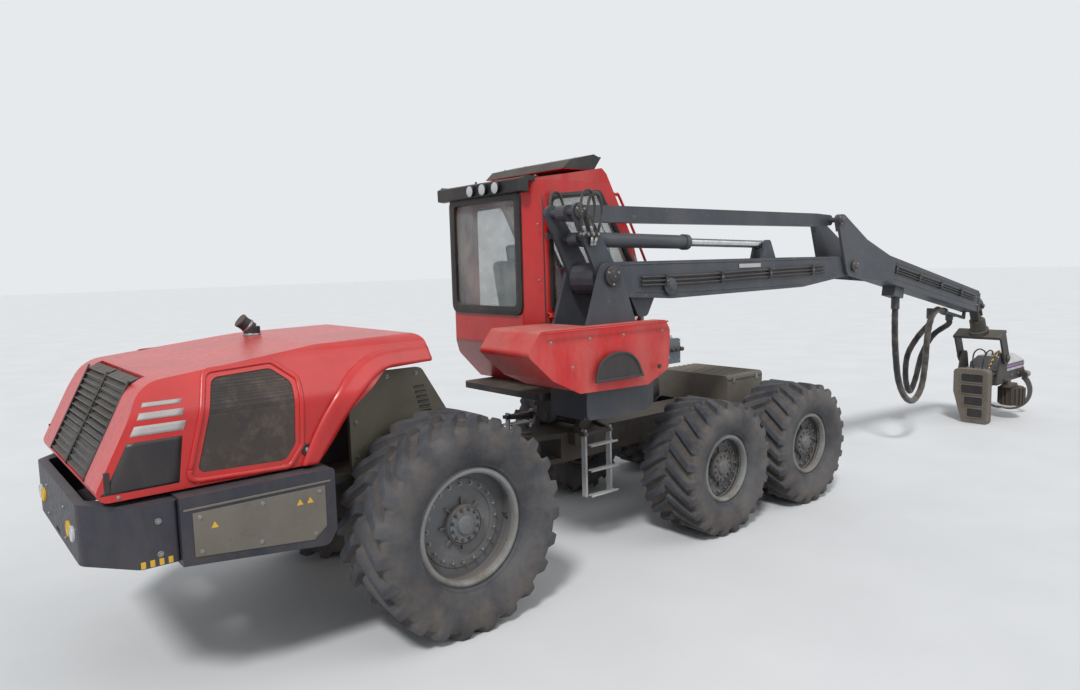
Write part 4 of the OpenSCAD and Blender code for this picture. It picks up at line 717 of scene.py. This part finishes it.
# Rear bumper: lamps, bolts, marks; side boxes: ledge, cover plate, bolts and small marks
PLATE = [(-6.5, 1.045), (-5.75, .965), (-5.66, 1.04), (-5.66, 1.315), (-6.5, 1.315)]
b = Build("bumper_fittings", "rear", "dark_paint")
for s in (-1, 1):
    for y, mat in ((.5, "yellow"), (.63, "lamp")):
        b.lathe([(.05, 0), (.05, .016), (.044, .02), (.04, .012), (0, .014)], mat,
                shift((-7.048, s * y, 1.2)) @ turned(-90, "Y"), 36)
    for z in (1.1, 1.3):
        bolt(b, (-7.046, s * .34, z), (-1, 0, 0), .013, .01)
    bolts(b, s * 1.089, s, .013, .01, ((-6.68, 1.1), (-6.68, 1.3)))
    for k in range(4):
        b.block((-6.777 + .05 * k, s * 1.0895, 1.055), (.013, .002, .02), "yellow")
    y = s * 1.13
    b.block((-6.085, y, 1.341), (.465, .006, .006), "box")
    b.slab(PLATE, .01, "box", upright(y - s * .004, s))
    bolts(b, y + s * .006, s, .01, .007,
          ((-6.46, 1.07), (-6.46, 1.285), (-6.08, 1.285), (-5.7, 1.285), (-5.74, 1.005), (-6.1, 1.04)))
    for x, z in ((-5.86, 1.22), (-5.79, 1.22), (-6.4, 1.2)):
        b.slab([(x, z), (x + .045, z), (x + .0225, z + .04)], .0015, "yellow", upright(y + s * .006, s))
b.done(.002, 1)

# Slots in the wheel screens: each a dark block as painted shade of the opening, with a lip below
SLOTS = 14
b = Build("screen_slots", "rear")
for s in (-1, 1):
    for i in range(SLOTS):
        x, z = -4.53 - .011 * i, 1.3 + .04 * i
        # Dark block: painted shade of the slot's opening
        b.block((x, s * .742, z + .007), (.045, .003, .007), "decal")
        b.tube([(x - .048, s * .743, z - .004), (x, s * .745, z - .004), (x + .048, s * .743, z - .004)], .0035,
               "olive", 8)
    bolts(b, s * .742, s, .011, .008, ((-5.22, 1.36), (-4.44, 1.36), (-5.22, 1.62), (-4.95, 1.93), (-4.7, 1.93)))
b.done()


# Cab
RIGHT, LEFT = upright(-.58, -1), upright(.88, 1)
REAR = plane((-3.35, 0, 0), (0, -1, 0), (0, 0, 1))
SCREEN = plane((-1.89, 0, 2.65), (0, 1, 0), (-.491, 0, .871))
LOW = plane((-1.84, 0, 1.82), (0, 1, 0), (.132, 0, .991))
RIGHT_WINDOW = [(-3.14, 2.33), (-2.11, 2.33), (-2.04, 2.64), (-2.52, 3.41), (-3.14, 3.35)]
DOOR_WINDOW = [(-2.95, 1.98), (-2.17, 1.98), (-2.15, 2.59), (-2.57, 3.39), (-2.95, 3.34)]


def ring(b, inner, outer, at, z0, z1, mat, lip=0.0):
    """Frame between two drawings with as many points, as a solid, its middle raised by lip."""
    v = []
    for (x0, y0), (x1, y1) in zip(inner, outer):
        v += [(x0, y0, z0), (x0, y0, z1), ((x0 + x1) / 2, (y0 + y1) / 2, z1 + lip), (x1, y1, z1), (x1, y1, z0)]
    b.add(v, grid(len(inner), 5, True), mat, False, at)


def gasket(b, rows, at, r, wide, out):
    ring(b, moved(rows, wide, r), moved(rows, -wide, r + wide), at, -.004, out, "black", .004)


def rect(a, b, c, d):
    return [(a, b), (c, b), (c, d), (a, d)]


def lamp(b, p, n, r, deep):
    """Round work lamp: housing with fins, rim, reflector and lens."""
    at = aim(p, n)
    b.lathe([(0, -deep), (r * .55, -deep), (r * .8, -deep * .5), (r * .96, -.004), (r, 0), (r, .008), (r * .9, .01),
             (r * .86, .002)], "black", at, 40)
    b.lathe([(r * .86, .002), (r * .5, -.006), (0, -.009)], "steel", at, 32)
    b.lathe([(r * .885, .004), (r * .7, .0085), (r * .35, .0115), (0, .0125)], "lamp", at, 36)
    for a in around(8):
        b.box((r * .55, -.002, -deep * .9), (r * .9, .002, -deep * .45), "black", at @ spun(a))


b = Build("cab_gaskets", "upper")
gasket(b, RIGHT_WINDOW, RIGHT, .06, .026, .012)
gasket(b, rect(-.68, 2.32, .38, 3.38), REAR, .06, .04, .022)
gasket(b, rect(-.39, .034, .69, .93), SCREEN, .06, .026, .012)
for y in (-.12, .42):
    gasket(b, rect(y - .23, .262, y + .23, .514), LOW, .04, .018, .01)
# Seam below the right window, panel joint and bolts on the cab's side
b.tube([(-3.3, -.582, 2.215), (-2.6, -.582, 2.2), (-2.02, -.582, 2.225)], .005, "decal", 8)
b.tube([(-3.22, -.582, 1.66), (-3.225, -.582, 2.2), (-3.235, -.582, 3.36)], .005, "decal", 8)
bolts(b, -.581, -1, .009, .006,
      ((-3.29, 1.72), (-3.29, 2.14), (-2.12, 1.72), (-2.06, 2.14), (-3.29, 2.6), (-3.29, 3.1)))
b.done(.0015, 1)

b = Build("door_fittings", "door")
gasket(b, DOOR_WINDOW, LEFT, .06, .024, .012)
b.tube([(-2.28, .884, 1.72), (-2.28, .92, 1.74), (-2.28, .922, 1.9), (-2.28, .884, 1.92)], .01, "black", 14)
b.box((-2.34, .878, 1.795), (-2.22, .894, 1.845), "black")
b.lathe([(.016, 0), (.016, .006), (.006, .008), (0, .008)], "steel", outwards((-2.255, .894, 1.82), 1), 24)
for z in (1.75, 2.35, 3.05):
    b.box((-3.005, .878, z - .05), (-2.955, .893, z + .05), "red")
    bolts(b, .892, 1, .008, .006, ((-2.98, z - .03), (-2.98, z + .03)))
b.done(.002, 1)

b = Build("roof_lights", "upper")
# Light bar over the rear window, and lamps on it and on the visor
bar = rounded([(-3.425, 3.395, .014), (-3.352, 3.388, .004), (-3.352, 3.498, .004), (-3.395, 3.525, .014),
               (-3.428, 3.51, .014)], 3)
b.slab(bar, 1.38, "black", upright(-.54, 1))
for k in (-1, 0, 1):
    lamp(b, (-3.452, .03 + k * .2, 3.452), (-1, 0, -.05), .06, .05)
    y = .15 + k * .26
    lamp(b, (-2.355, y, 3.72), (1, 0, -.12), .048, .06)
    b.box((-2.47, y - .02, 3.7), (-2.38, y + .02, 3.74), "black")
# Dark skin of the visor over the windscreen, with a folded edge
visor = [(-2.87, 3.6335), (-2.47, 3.6335), (-2.3765, 3.752), (-2.468, 3.7835), (-2.782, 3.7135)]
b.slab(visor, 1.226, "black", upright(-.463, 1))
b.tube([(-2.38, y, 3.757) for y in (-.46, 0, .4, .76)], .009, "grip", 10)
for y in (-.4, -.05, .35, .7):
    bolt(b, (-2.66, y, 3.742), (-.22, 0, .975), .009, .006)
# Light bar's brackets, roof seams and aerial foot
for y in (-.5, .8):
    b.box((-3.4, y - .015, 3.49), (-3.2, y + .015, 3.535), "black")
    bolt(b, (-3.24, y, 3.537), (0, 0, 1), .01, .007)
for y in (-.46, .76):
    b.tube([(-3.28, y, 3.514), (-3.05, y, 3.548), (-2.9, y, 3.571)], .006, "decal", 8)
b.lathe([(.045, 0), (.045, .012), (.03, .022), (.012, .03), (.009, .06), (0, .062)], "black",
        shift((-3.1, .62, 3.536)), 28)
b.done(.002, 1)

# Rails beside the windscreen, each with its two feet, and one on the right above the crane's cover
b = Build("cab_rails", "upper", "red_paint")
for y, o in ((-.545, -1), (.845, 1)):
    b.tube(spline([(-1.88, y, 2.44), (-1.79, y + .01 * o, 2.5), (-1.815, y + .012 * o, 2.66),
                   (-2.2, y + .012 * o, 3.34), (-2.255, y, 3.4), (-2.33, y - .02 * o, 3.42)], 8), .0135, "red", 14)
    for p, n in (((-1.882, y, 2.44), (1, 0, 0)), ((-2.33, y - .02 * o, 3.42), (.87, 0, .49))):
        b.lathe([(0, -.01), (.026, -.01), (.026, .004), (.016, .01), (0, .01)], "red", aim(p, n), 24)
b.tube(spline([(-3.2, -.585, 2.3), (-3.2, -.64, 2.285), (-3.16, -.655, 2.262), (-2.3, -.655, 2.262),
               (-2.22, -.64, 2.275), (-2.21, -.585, 2.29)], 8), .011, "red", 12)
b.done()

b = Build("wipers", "upper")
out = SCREEN.to_3x3() @ UP
for y0, y1, z0, z1 in ((-.1, .3, .06, .74), (-.38, -.02, .06, .62)):
    foot = SCREEN @ Vector((y0, z0, .03))
    tip = SCREEN @ Vector(((y0 + y1) / 2, (z0 + z1) / 2 + .1, .04))
    b.rod(foot - out * .034, foot + out * .008, .016, "black", 20)
    b.tube([foot, (foot + tip) / 2 + out * .012, tip], .006, "black", 10)
    b.tube([SCREEN @ Vector((y1 - .12, z0 + .1, .03)), tip - out * .008,
            SCREEN @ Vector((y1 - .18, z1 + .05, .03))], .007, "grip", 10)
b.done()

# Inside the cab: all places there count from the seat's foot
SEAT = Vector((-2.71, .15, 1.6153))
VOXEL, CLOTH_FRAMES, CLOTH_REACH, CLOTH_STIFF, CLOTH_PUFF = .014, 20, .016, 18, 4.0


def seated(x, y, z):
    return tuple(SEAT + Vector((x, y, z)))


def cushion(name, size, at):
    """Padded piece: a rounded block, filled out as cloth with seams, its movement capped."""
    mesh = bpy.data.meshes.new(name)
    bm = bmesh.new()
    bmesh.ops.create_cube(bm, size=1)
    for v in bm.verts:
        v.co = Vector(v.co[i] * size[i] for i in range(3))
    bm.to_mesh(mesh)
    bm.free()
    obj = put(name, mesh)
    bpy.context.view_layer.objects.active = obj
    obj.select_set(True)
    mesh.materials.append(M["seat"])
    for kind, values in (("BEVEL", {"width": min(size) * .3, "segments": 3}),
                         ("REMESH", {"mode": "VOXEL", "voxel_size": VOXEL})):
        mod = obj.modifiers.new(kind.lower(), kind)
        for k, v in values.items():
            setattr(mod, k, v)
        bpy.ops.object.modifier_apply(modifier=mod.name)
    rest = [v.co.copy() for v in obj.data.vertices]
    # Held underneath and along two seams
    group = obj.vertex_groups.new(name="held")
    group.add([v.index for v in obj.data.vertices if v.co.z < -size[2] * .3
               or abs(abs(v.co.y) - size[1] * .27) < .008], 1.0, "REPLACE")
    mod = obj.modifiers.new("cloth", "CLOTH")
    st = mod.settings
    st.quality, st.mass = 5, .4
    st.use_pressure, st.uniform_pressure_force = True, CLOTH_PUFF
    st.vertex_group_mass = "held"
    st.effector_weights.gravity = 0
    st.tension_stiffness = st.compression_stiffness = CLOTH_STIFF
    mod.point_cache.frame_start, mod.point_cache.frame_end = 1, CLOTH_FRAMES
    for frame_no in range(1, CLOTH_FRAMES + 1):
        scene.frame_set(frame_no)
    bpy.ops.object.modifier_apply(modifier="cloth")
    scene.frame_set(1)
    for v, r in zip(obj.data.vertices, rest):
        move = v.co - r
        if move.length > CLOTH_REACH:
            v.co = r + move.normalized() * CLOTH_REACH
    mod = obj.modifiers.new("smooth", "SUBSURF")
    mod.levels = mod.render_levels = 1
    bpy.ops.object.modifier_apply(modifier="smooth")
    obj.data.shade_smooth()
    obj.select_set(False)
    obj.data.transform(at)
    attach(obj, "upper")


lean = turned(-9.5, "Y")
cushion("seat_cushion", (.5, .5, .115), shift(seated(.055, 0, .455)))
cushion("seat_back", (.115, .48, .66), shift(seated(-.135, 0, .815)) @ lean)
cushion("seat_headrest", (.1, .28, .19), shift(seated(-.245, 0, 1.235)) @ lean)
for s in (-1, 1):
    cushion("seat_arm_" + ("left" if s > 0 else "right"), (.3, .085, .055), shift(seated(.02, s * .3, .69)))

# Seat: armrest plates and posts, headrest's stems, recliner knobs, slide rails, bellows over the pillar
b = Build("seat_fittings", "upper", None, shift(SEAT))
for s in (-1, 1):
    y = s * .3
    b.box((-.16, y - .035, .64), (.17, y + .035, .664), "grip")
    b.rod((-.1, y, .44), (-.1, y, .65), .018, "steel")
    b.tube([(-.3, s * .055, 1.1), (-.27, s * .055, 1.24)], .008, "steel")
    b.rod((-.14, s * .254, .39), (-.14, s * .272, .39), .045, "grip", 28)
    b.box((-.24, s * .17 - .018, .285), (.24, s * .17 + .018, .31), "steel")
b.lathe([(.15 if k % 2 else .168, .02 + k * .0185) for k in range(15)], "grip", Matrix(), 40)
b.done(.002, 1)

b = Build("controls", "upper", "console")
TOP = .632
for s in (-1, 1):
    y = s * .37
    b.box(seated(-.15, y - .078, TOP), seated(.4, y + .078, TOP + .01), "grip")
    # Joystick: boot, stem, hand grip with buttons
    boot = [(.046 - .0035 * k + (.003 if k % 2 else 0), .01 + .0075 * k) for k in range(9)]
    b.lathe([(.052, .008), (.05, .012)] + boot, "black", shift(seated(.345, y, TOP)), 28)
    b.rod(seated(.345, y, TOP + .07), seated(.353, y, TOP + .115), .01, "steel", 16)
    grip = shift(seated(.355, y, TOP + .105)) @ turned(9, "Y") @ Matrix.Diagonal((1.15, .9, 1, 1))
    b.lathe([(0, 0), (.018, .002), (.024, .02), (.021, .045), (.024, .07), (.031, .095), (.03, .112), (.02, .124),
             (0, .128)], "blue" if s < 0 else "black", grip, 28)
    for k in range(3):
        b.lathe([(.005, .124), (.005, .131), (0, .132)], "yellow" if k == 1 else "trim",
                grip @ shift((-.012 + .012 * k, .006 * (k - 1), 0)), 14)
    # Keys in rows
    for i in range(6):
        for j in range(4):
            b.block(seated(-.11 + .048 * i, y - .054 + .036 * j, TOP + .01375), (.016, .012, .00375),
                    ("trim", "slate", "trim", "blue")[(i * 3 + j) % 4] if s < 0 else ("slate", "trim")[(i + j) % 2])
# Monitor on its arm
b.tube([seated(.3, -.51, .64), seated(.43, -.53, .8), seated(.475, -.51, .93)], .014, "steel", 16)
at = plane(seated(.48, -.48, .94), (.42, -.9, 0), (-.12, -.05, 1))
b.slab(rect(-.15, -.11, .15, .11), -.034, "black", at)
b.slab(rect(-.135, -.0885, .135, .0965), .0025, "screen", at)
for k in range(6):
    b.box((-.12 + .045 * k, -.104, 0), (-.09 + .045 * k, -.094, .004), "trim", at)
# Keyboard on its post
at = shift(seated(.44, 0, .58)) @ turned(-14, "Y")
b.box((-.07, -.2, -.012), (.07, .2, 0), "black", at)
for i in range(4):
    for j in range(13):
        b.block((-.046 + .03 * i, -.1745 + .029 * j, .003), (.012, .0115, .003), "grip", at)
b.tube([seated(.44, 0, .57), seated(.62, 0, .35), seated(.66, 0, .01)], .018, "grip", 16)
# Lining of the pillars
for y in (-.535, .835):
    b.tube([(-1.915, y, 1.72), (-1.9, y, 2.3), (-1.925, y, 2.62), (-2.3, y, 3.28)], .024, "trim", 14)
    b.tube([(-3.24, y * .88 + .02, z) for z in (2.1, 2.7, 3.34)], .026, "trim", 14)
# Foot pedals and floor mat with ribs
for y in (.02, .28):
    at = shift((-2.02, y, SEAT.z + .06)) @ turned(-32, "Y")
    b.box((-.09, -.05, 0), (.09, .05, .014), "grip", at)
    for k in range(6):
        b.box((-.08 + .03 * k, -.046, .014), (-.068 + .03 * k, .046, .02), "black", at)
for k in range(12):
    b.box((-2.42 + .03 * k, -.2, SEAT.z + .001), (-2.405 + .03 * k, .5, SEAT.z + .008), "black")
b.box((-2.43, -.21, SEAT.z - .002), (-2.06, .51, SEAT.z + .003), "grip")
b.done(.0015, 1)

# Hanging steps between the rear and middle wheels: posts, treads with studs, carriers to the frame
b = Build("steps", "front", "frame_paint")
for s in (-1, 1):
    y = s * .6
    for x in (-2.8, -2.47):
        b.block((x, y, .83), (.012, .03, .33), "cover")
    for z in (.52, .765, 1.01):
        b.box((-2.8, y - .025 + s * .02, z), (-2.47, y + .025 + s * .09, z + .012), "cover")
        b.tube([(-2.812, y + s * .108, z + .006), (-2.458, y + s * .108, z + .006)], .011, "cover")
        for i in range(9):
            b.lathe([(.009, .012), (.011, .016), (.008, .018), (.006, .012)], "steel",
                    shift((-2.775 + .034 * i, y + s * .055, z)), 12)
    b.box((-2.84, y - .04, 1.1), (-2.44, y + .04, 1.135), "frame")
    for x in ((-2.8, -2.72, -2.66), (-2.47, -2.44, -2.42)):
        b.tube(list(zip(x, (y, s * .45, s * .345), (1.115, 1.13, 1.14))), .026, "frame", 14)
    bolts(b, y + s * .04, s, .012, .01, ((-2.8, 1.117), (-2.47, 1.117)))
b.done(.002, 1)


# Crane: the frame of its pieces is on its middle plane
CRANE = shift((0, CRANE_Y, 0))


def pin_caps(b, pin, out, r):
    """Keeper plate, dome, three bolts and a nipple at both ends of a pin across the crane."""
    for s in (-1, 1):
        at = aim((pin[0], s * out, pin[1]), (0, s, 0))
        b.lathe([(r * 1.35, -.004), (r * 1.35, .006), (r * 1.26, .01), (r * .8, .01), (r * .74, .018),
                 (r * .3, .022), (0, .022)], "cast", at, 40)
        for i in range(3):
            bolt(b, at @ polar(r * 1.05, 2.1 * i + .5, .01), (0, s, 0), .009, .007)
        b.lathe([(.007, .02), (.005, .034), (0, .035)], "steel", at, 12)


CLAMP_BELOW = .012


def pipes(b, pts, side, gap, n, r, every):
    """Parallel pipes along a path, spread along side, with bolted clamps."""
    pts = [Vector(p) for p in pts]
    for k in range(n):
        b.tube([p + side * gap * (k - (n - 1) / 2) for p in pts], r, "dark")
    h = gap * (n - 1) / 2 + r + .008
    run = every * .4
    while run < path_length(pts) - .1:
        left = run
        for p, q in zip(pts, pts[1:]):
            if left <= (q - p).length:
                d = (q - p).normalized()
                at = axes(d, side, side.cross(d).normalized(), p.lerp(q, left / (q - p).length))
                b.box((-.02, -h, -r - CLAMP_BELOW), (.02, h, r + .005), "dark", at)
                for z, way in ((r + .005, UP), (-r - CLAMP_BELOW, -UP)):
                    bolt(b, at @ (UP * z), at.to_3x3() @ way, .007, .006)
                break
            left -= (q - p).length
        run += every


def free_hose(name, body, pts, dia, mat="sleeve", guard=False):
    """Hose with a crimped socket at each end, held at both, and with a yellow spiral where it has a guard."""
    sides = 16
    pts = spline(pts, 8)
    b = Build(name, body, "hose_sleeve")
    b.tube(pts, dia / 2, mat, sides)
    obj = b.done()
    if guard:
        obj.data.materials.append(M["yellow"])
        for poly in obj.data.polygons:
            i, j = poly.index // sides, poly.index % sides
            if (i * 4 + j) % 16 < 8 and poly.index < sides * (len(pts) - 1):
                poly.material_index = 1
    b = Build(name + "_sockets", body)
    r = dia / 2
    for p, q in ((pts[0], pts[1]), (pts[-1], pts[-2])):
        at = aim(p, (q - p).normalized())
        b.lathe([(r * .6, -.045), (r * .8, -.045), (r * .8, -.02), (r * 1.15, -.018), (r * 1.2, 0), (r * 1.18, .028),
                 (r * 1.02, .03)], "steel", at, 20)
        b.slab(hexagon(r * 1.25), .016, "steel", at @ shift((0, 0, -.036)))
    b.done()


b = Build("crane_base_fittings", "upper", "crane_paint", CRANE)
pin_caps(b, BOOM_A, .256, .066)
b.done(.0015, 1)

b = Build("boom_fittings", "main_boom", "crane_paint", CRANE)
pin_caps(b, BOOM_B, .21, .052)
for s in (-1, 1):
    y = s * .168
    pipes(b, [(-2.45, y, 2.56), (-1.6, y, 2.56), (-.3, y, 2.585), (.7, y, 2.6)], UP, .038, 3, .011, .85)
    # Weld seams along the boom's edges
    for seam in (((-2.5, 2.47), (-1.7, 2.44), (.2, 2.442), (1.0, 2.535)), ((-2.7, 2.722), (-1, 2.722), (.9, 2.722))):
        b.tube([(x, s * .1505, z) for x, z in seam], .006, "crane", 8)
    # Boss of the cylinder's eye
    b.lathe([(.085, -.004), (.085, .01), (.07, .016), (.04, .016), (.036, .022), (0, .023)], "crane",
            outwards((-2.05, y, 2.5), s), 36)
    # Reflector strip in a frame
    b.block((-.75, s * .152, 2.6725), (.2, .003, .0275), "slate")
    b.block((-.75, s * .154, 2.6725), (.19, .003, .0205), "silver")
b.done(.001, 1)

ALONG = Vector((cos(STICK_PITCH), 0, sin(STICK_PITCH)))
ACROSS = Vector((-sin(STICK_PITCH), 0, cos(STICK_PITCH)))


def on_stick(u, y, v):
    return Vector((BOOM_B[0], y, BOOM_B[1])) + ALONG * u + ACROSS * v


b = Build("stick_fittings", "stick", "crane_paint", CRANE)
pin_caps(b, LINK, .204, .045)
for s in (-1, 1):
    pipes(b, [on_stick(u, s * .15, v) for u, v in ((.9, .16), (2.3, .16), (3.85, .155))], ACROSS, .034, 3, .01, .7)
    for v in (.03, .246):
        b.tube([on_stick(u, s * .1352, v) for u in (1.15, 2.5, 3.98)], .005, "crane", 8)
    for u in (3.93, 3.985):
        for v in (.06, .18):
            bolt(b, on_stick(u, s * .137, v), (0, s, 0), .009, .007)
    # Wear ring round the stick's end
    b.tube([on_stick(4.005, s * .137, v) for v in (-.03, .1, .24)], .009, "cast", 10)
    b.tube([on_stick(4.005, y, .12 + s * .166) for y in (-.12, 0, .12)], .009, "cast", 10)
b.done(.001, 1)

b = Build("rocker_fittings", "rocker", "crane_paint", CRANE)
pin_caps(b, ROCKER, .204, .045)
b.done(.001, 1)
for k, s, dx in ((0, -1, 0), (1, -1, -.085), (2, 1, -.04)):
    y = CRANE_Y + s * .222
    free_hose("rocker_hose_%d" % (k + 1), "rocker",
              [(-3.13 + dx, y, 3.03), (-3.165 + dx, y - .004 * s, 3.17), (-3.15 + dx, y + .012 * s, 3.3 + .02 * k),
               (-3.06 + dx, y + .01 * s, 3.335 + .02 * k), (-3.0 + dx, y, 3.22), (-3.03 + dx, y - .004 * s, 3.06),
               (-3.08 + dx * .5, y - .006 * s, 2.93)], .026)
b = Build("rocker_manifold", "rocker", "crane_paint", CRANE)
for s in (-1, 1):
    y = s * .212
    b.block((-3.15, y, 2.99), (.12, .012, .025), "dark")
    for k in range(4):
        b.rod((-3.24 + .06 * k, y, 2.99), (-3.24 + .06 * k, y + s * .03, 2.99), .013, "steel", 16)
    bolts(b, y + s * .012, s, .008, .006, ((-3.255, 2.99), (-3.045, 2.99)))
b.done(.0015, 1)

b = Build("extension_fittings", "extension", "crane_paint", CRANE)
pin_caps(b, TIP, .12, .03)
b.done()
b = Build("head_pin_caps", "head", "dark_paint", CRANE)
pin_caps(b, TILT, .377, .042)
b.done()

# Valve box on the turntable: spools, plugs and cover
b = Build("valve_fittings", "upper", None, CRANE)
for i in range(5):
    x = -2.235 + .065 * i
    for s in (-1, 1):
        b.lathe([(.024, 0), (.024, .02), (.02, .024), (.02, .052), (.014, .058), (0, .058)], "dark",
                outwards((x, s * .2, 1.9), s), 24)
    b.lathe([(.02, 0), (.02, .012), (.013, .014), (.013, .03), (0, .031)], "steel",
            shift((x, -.1, 1.99)), 20)
    b.slab(hexagon(.018), .014, "steel", shift((x, .06, 1.99)))
b.box((-2.28, -.195, 1.985), (-1.96, -.15, 1.998), "valve")
bolts(b, -.201, -1, .009, .006, [(x, z) for x in (-2.27, -1.97) for z in (1.79, 1.96)])
b.done(.0015, 1)

# Crane cover: flat dark arch as painted shade of a recess, edge bead, bolts, plug
COVER_Y = -1.29
b = Build("cover_fittings", "upper", "red_paint")
at = upright(COVER_Y + .003, -1)
arch = smooth([(-3.3, 1.735), (-3.24, 1.9), (-3.08, 1.975), (-2.9, 1.965), (-2.78, 1.885), (-2.7, 1.735)], 5)
# Flat dark sheet on the cover: painted shade of the arched recess
b.slab(arch, .006, "decal", at)
ring(b, arch, inset(arch, .022), at, 0, .013, "dark", .002)
b.tube([(-3.83, COVER_Y + .002, 2.198), (-3.0, COVER_Y + .002, 2.2), (-2.37, COVER_Y + .002, 2.198)], .008, "red", 10)
bolts(b, COVER_Y - .001, -1, .009, .006,
      ((-3.78, 2.12), (-3.35, 2.12), (-2.95, 2.12), (-2.45, 2.12), (-2.36, 1.86), (-3.55, 1.9)))
b.rod((-2.5, COVER_Y - .002, 1.8), (-2.5, COVER_Y - .012, 1.8), .022, "black", 24)
b.done(.001, 1)

# Front box: lid seam, latches, hinges and ribs
b = Build("front_box_fittings", "front", "box_paint")
for s in (-1, 1):
    b.tube([(x, s * .522, 1.345) for x in (-.44, -.1, .22)], .005, "decal", 8)
    for x in (-.33, .11):
        b.block((x, s * .522, 1.341), (.022, .006, .031), "steel")
    bolts(b, s * .527, s, .007, .005, ((-.33, 1.325), (.11, 1.325)))
for y in (-.35, .35):
    b.box((.229, y - .045, 1.32), (.238, y + .045, 1.37), "steel")
for k in range(7):
    b.box((-.4 + .09 * k, -.48, 1.399), (-.385 + .09 * k, .48, 1.406), "box")
b.done(.001, 1)

# Head: bands and bolts on the cover, cross bolts and seam on the beam
b = Build("head_fittings", "head", "cover_paint", CRANE)
for s in (-1, 1):
    y = s * .26
    at = upright(y, s)
    b.slab([(6.09, .822), (6.985, .822), (6.975, .858), (6.1, .858)], .0025, "purple", at)
    b.slab([(6.1, .866), (6.97, .866), (6.955, .898), (6.115, .898)], .0025, "slate", at)
    bolts(b, y, s, .009, .007, [(x, .803) for x in (6.12, 6.36, 6.62, 6.92)])
    bolts(b, y, s, .014, .01, [(x, .7) for x in (5.72, 5.95, 6.18, 6.45, 6.75)])
    b.tube([(x, y, .64) for x in (5.66, 6.3, 6.95)], .007, "dark", 8)
for x in (6.35, 6.62):
    b.lathe([(.03, 0), (.03, .01), (.02, .016), (0, .017)], "black", shift((x, 0, 1.026)), 28)
# Motor of the saw, and the valve on the beam's top
b.lathe([(.075, 0), (.08, .01), (.08, .085), (.07, .095), (.045, .1), (.045, .13), (0, .132)], "cast",
        shift((5.625, -.13, .785)) @ turned(90, "Y"), 36)
b.box((5.68, -.2, .784), (5.79, .2, .85), "dark")
for k in range(6):
    b.lathe([(.014, 0), (.014, .022), (.009, .026), (0, .026)], "steel",
            shift((5.735, -.165 + .066 * k, .85)), 16)
b.done(.0015, 1)

b = Build("saw_housing_frames", "head", "box_paint", CRANE)
at = plane((5.45, 0, 0), (0, -1, 0), (0, 0, 1))
for z0, z1, y1 in ((.1, .24, .04), (.29, .43, .09), (.48, .62, .14), (.67, .8, .14)):
    rows = rect(-y1, z0, .19, z1)
    inner = moved(rows, .004, .02, 3)
    b.slab(inner, .001, "decal", at)
    ring(b, inner, moved(rows, -.016, .03, 3), at, -.002, .008, "box", .002)
    for x in (-y1 - .035, .225):
        bolt(b, at @ Vector((x, (z0 + z1) / 2, .001)), (-1, 0, 0), .008, .006)
b.done(.001, 1)

# Feed rollers: drive motor below each, and studs between the spikes
for side, s in (("left", 1), ("right", -1)):
    b = Build("roller_fittings_" + side, "roller_" + side, "casting", CRANE)
    c = shift((6.26, s * .33, .24))
    b.lathe([(.074, .302), (.092, .303), (.094, .309), (.094, .322), (.083, .328), (.081, .346), (.076, .352),
             (.07, .3555), (.04, .358), (0, .358)], "cast", c, 40)
    bolt_circle(b, c, .086, .324, 8, .006, .005)
    for i in range(16):
        for j in range(4):
            at = c @ spun(2 * pi * (i + .5) / 16)
            b.lathe([(.013, 0), (.008, .016), (.002, .026), (0, .026)], "steel",
                    at @ shift((.118, 0, .045 + .065 * j + (.03 if i % 2 else 0))) @ turned(90, "Y"), 8)
    b.done()
# Hoses over the beam, as x, y from the crane's middle and z: one in a yellow and black guard, two plain
for name, rows, dia, look in (
        ("guarded_hose", [(5.735, -.165, .87), (5.77, -.19, .98), (5.9, -.2, 1.1), (6.06, -.19, 1.13),
                          (6.18, -.16, 1.09), (6.22, -.13, 1.045)], .03, ("black", True)),
        ("head_hose_1", [(5.84, -.033, .806), (5.83, -.04, .94), (5.9, -.05, 1.08), (6.06, -.05, 1.13),
                         (6.2, -.04, 1.1), (6.25, -.03, 1.05)], .024, ()),
        ("head_hose_2", [(5.84, .099, .806), (5.83, .12, .94), (5.91, .13, 1.09), (6.08, .12, 1.14),
                         (6.21, .09, 1.1), (6.26, .08, 1.05)], .024, ())):
    free_hose(name, "head", [(x, CRANE_Y + y, z) for x, y, z in rows], dia, *look)


# Light, floor and background
def stage():
    scene.world = bpy.data.worlds.new("studio")
    g = Graph("studio", scene.world, "Background")
    g.shade(Color=(.86, .88, .9), Strength=.62)
    seen = g.node("ShaderNodeBackground", {"Color": (.8, .82, .84), "Strength": 1.0})
    path = g.node("ShaderNodeLightPath").outputs
    plain = path["Is Camera Ray"]
    for ray in ("Is Glossy Ray", "Is Transmission Ray"):
        plain = g.math("MAXIMUM", plain, path[ray])
    both = g.node("ShaderNodeMixShader", {0: plain, 1: g.bsdf.outputs[0], 2: seen.outputs[0]})
    g.feed(g.tree.nodes["World Output"].inputs["Surface"], both.outputs[0])
    for label, energy, angle, turn in (("key", 2.2, 10, (40, 8, -62)), ("fill", .6, 40, (55, 0, 40))):
        data = bpy.data.lights.new(label, "SUN")
        data.energy = energy
        data.angle = radians(angle)
        put(label, data).rotation_euler = [radians(a) for a in turn]
    size = 140
    mesh = bpy.data.meshes.new("floor")
    mesh.from_pydata([(x, y, 0) for x, y in rect(-size, -size, size, size)], [], [(0, 1, 2, 3)])
    g = Graph("floor_pale")
    mesh.materials.append(g.shade(Base_Color=g.mix(g.patches(.8, 4, .55, .3, .7), (.6, .61, .62), (.64, .65, .66)),
                                  Roughness=.9))
    put("floor", mesh)


stage()
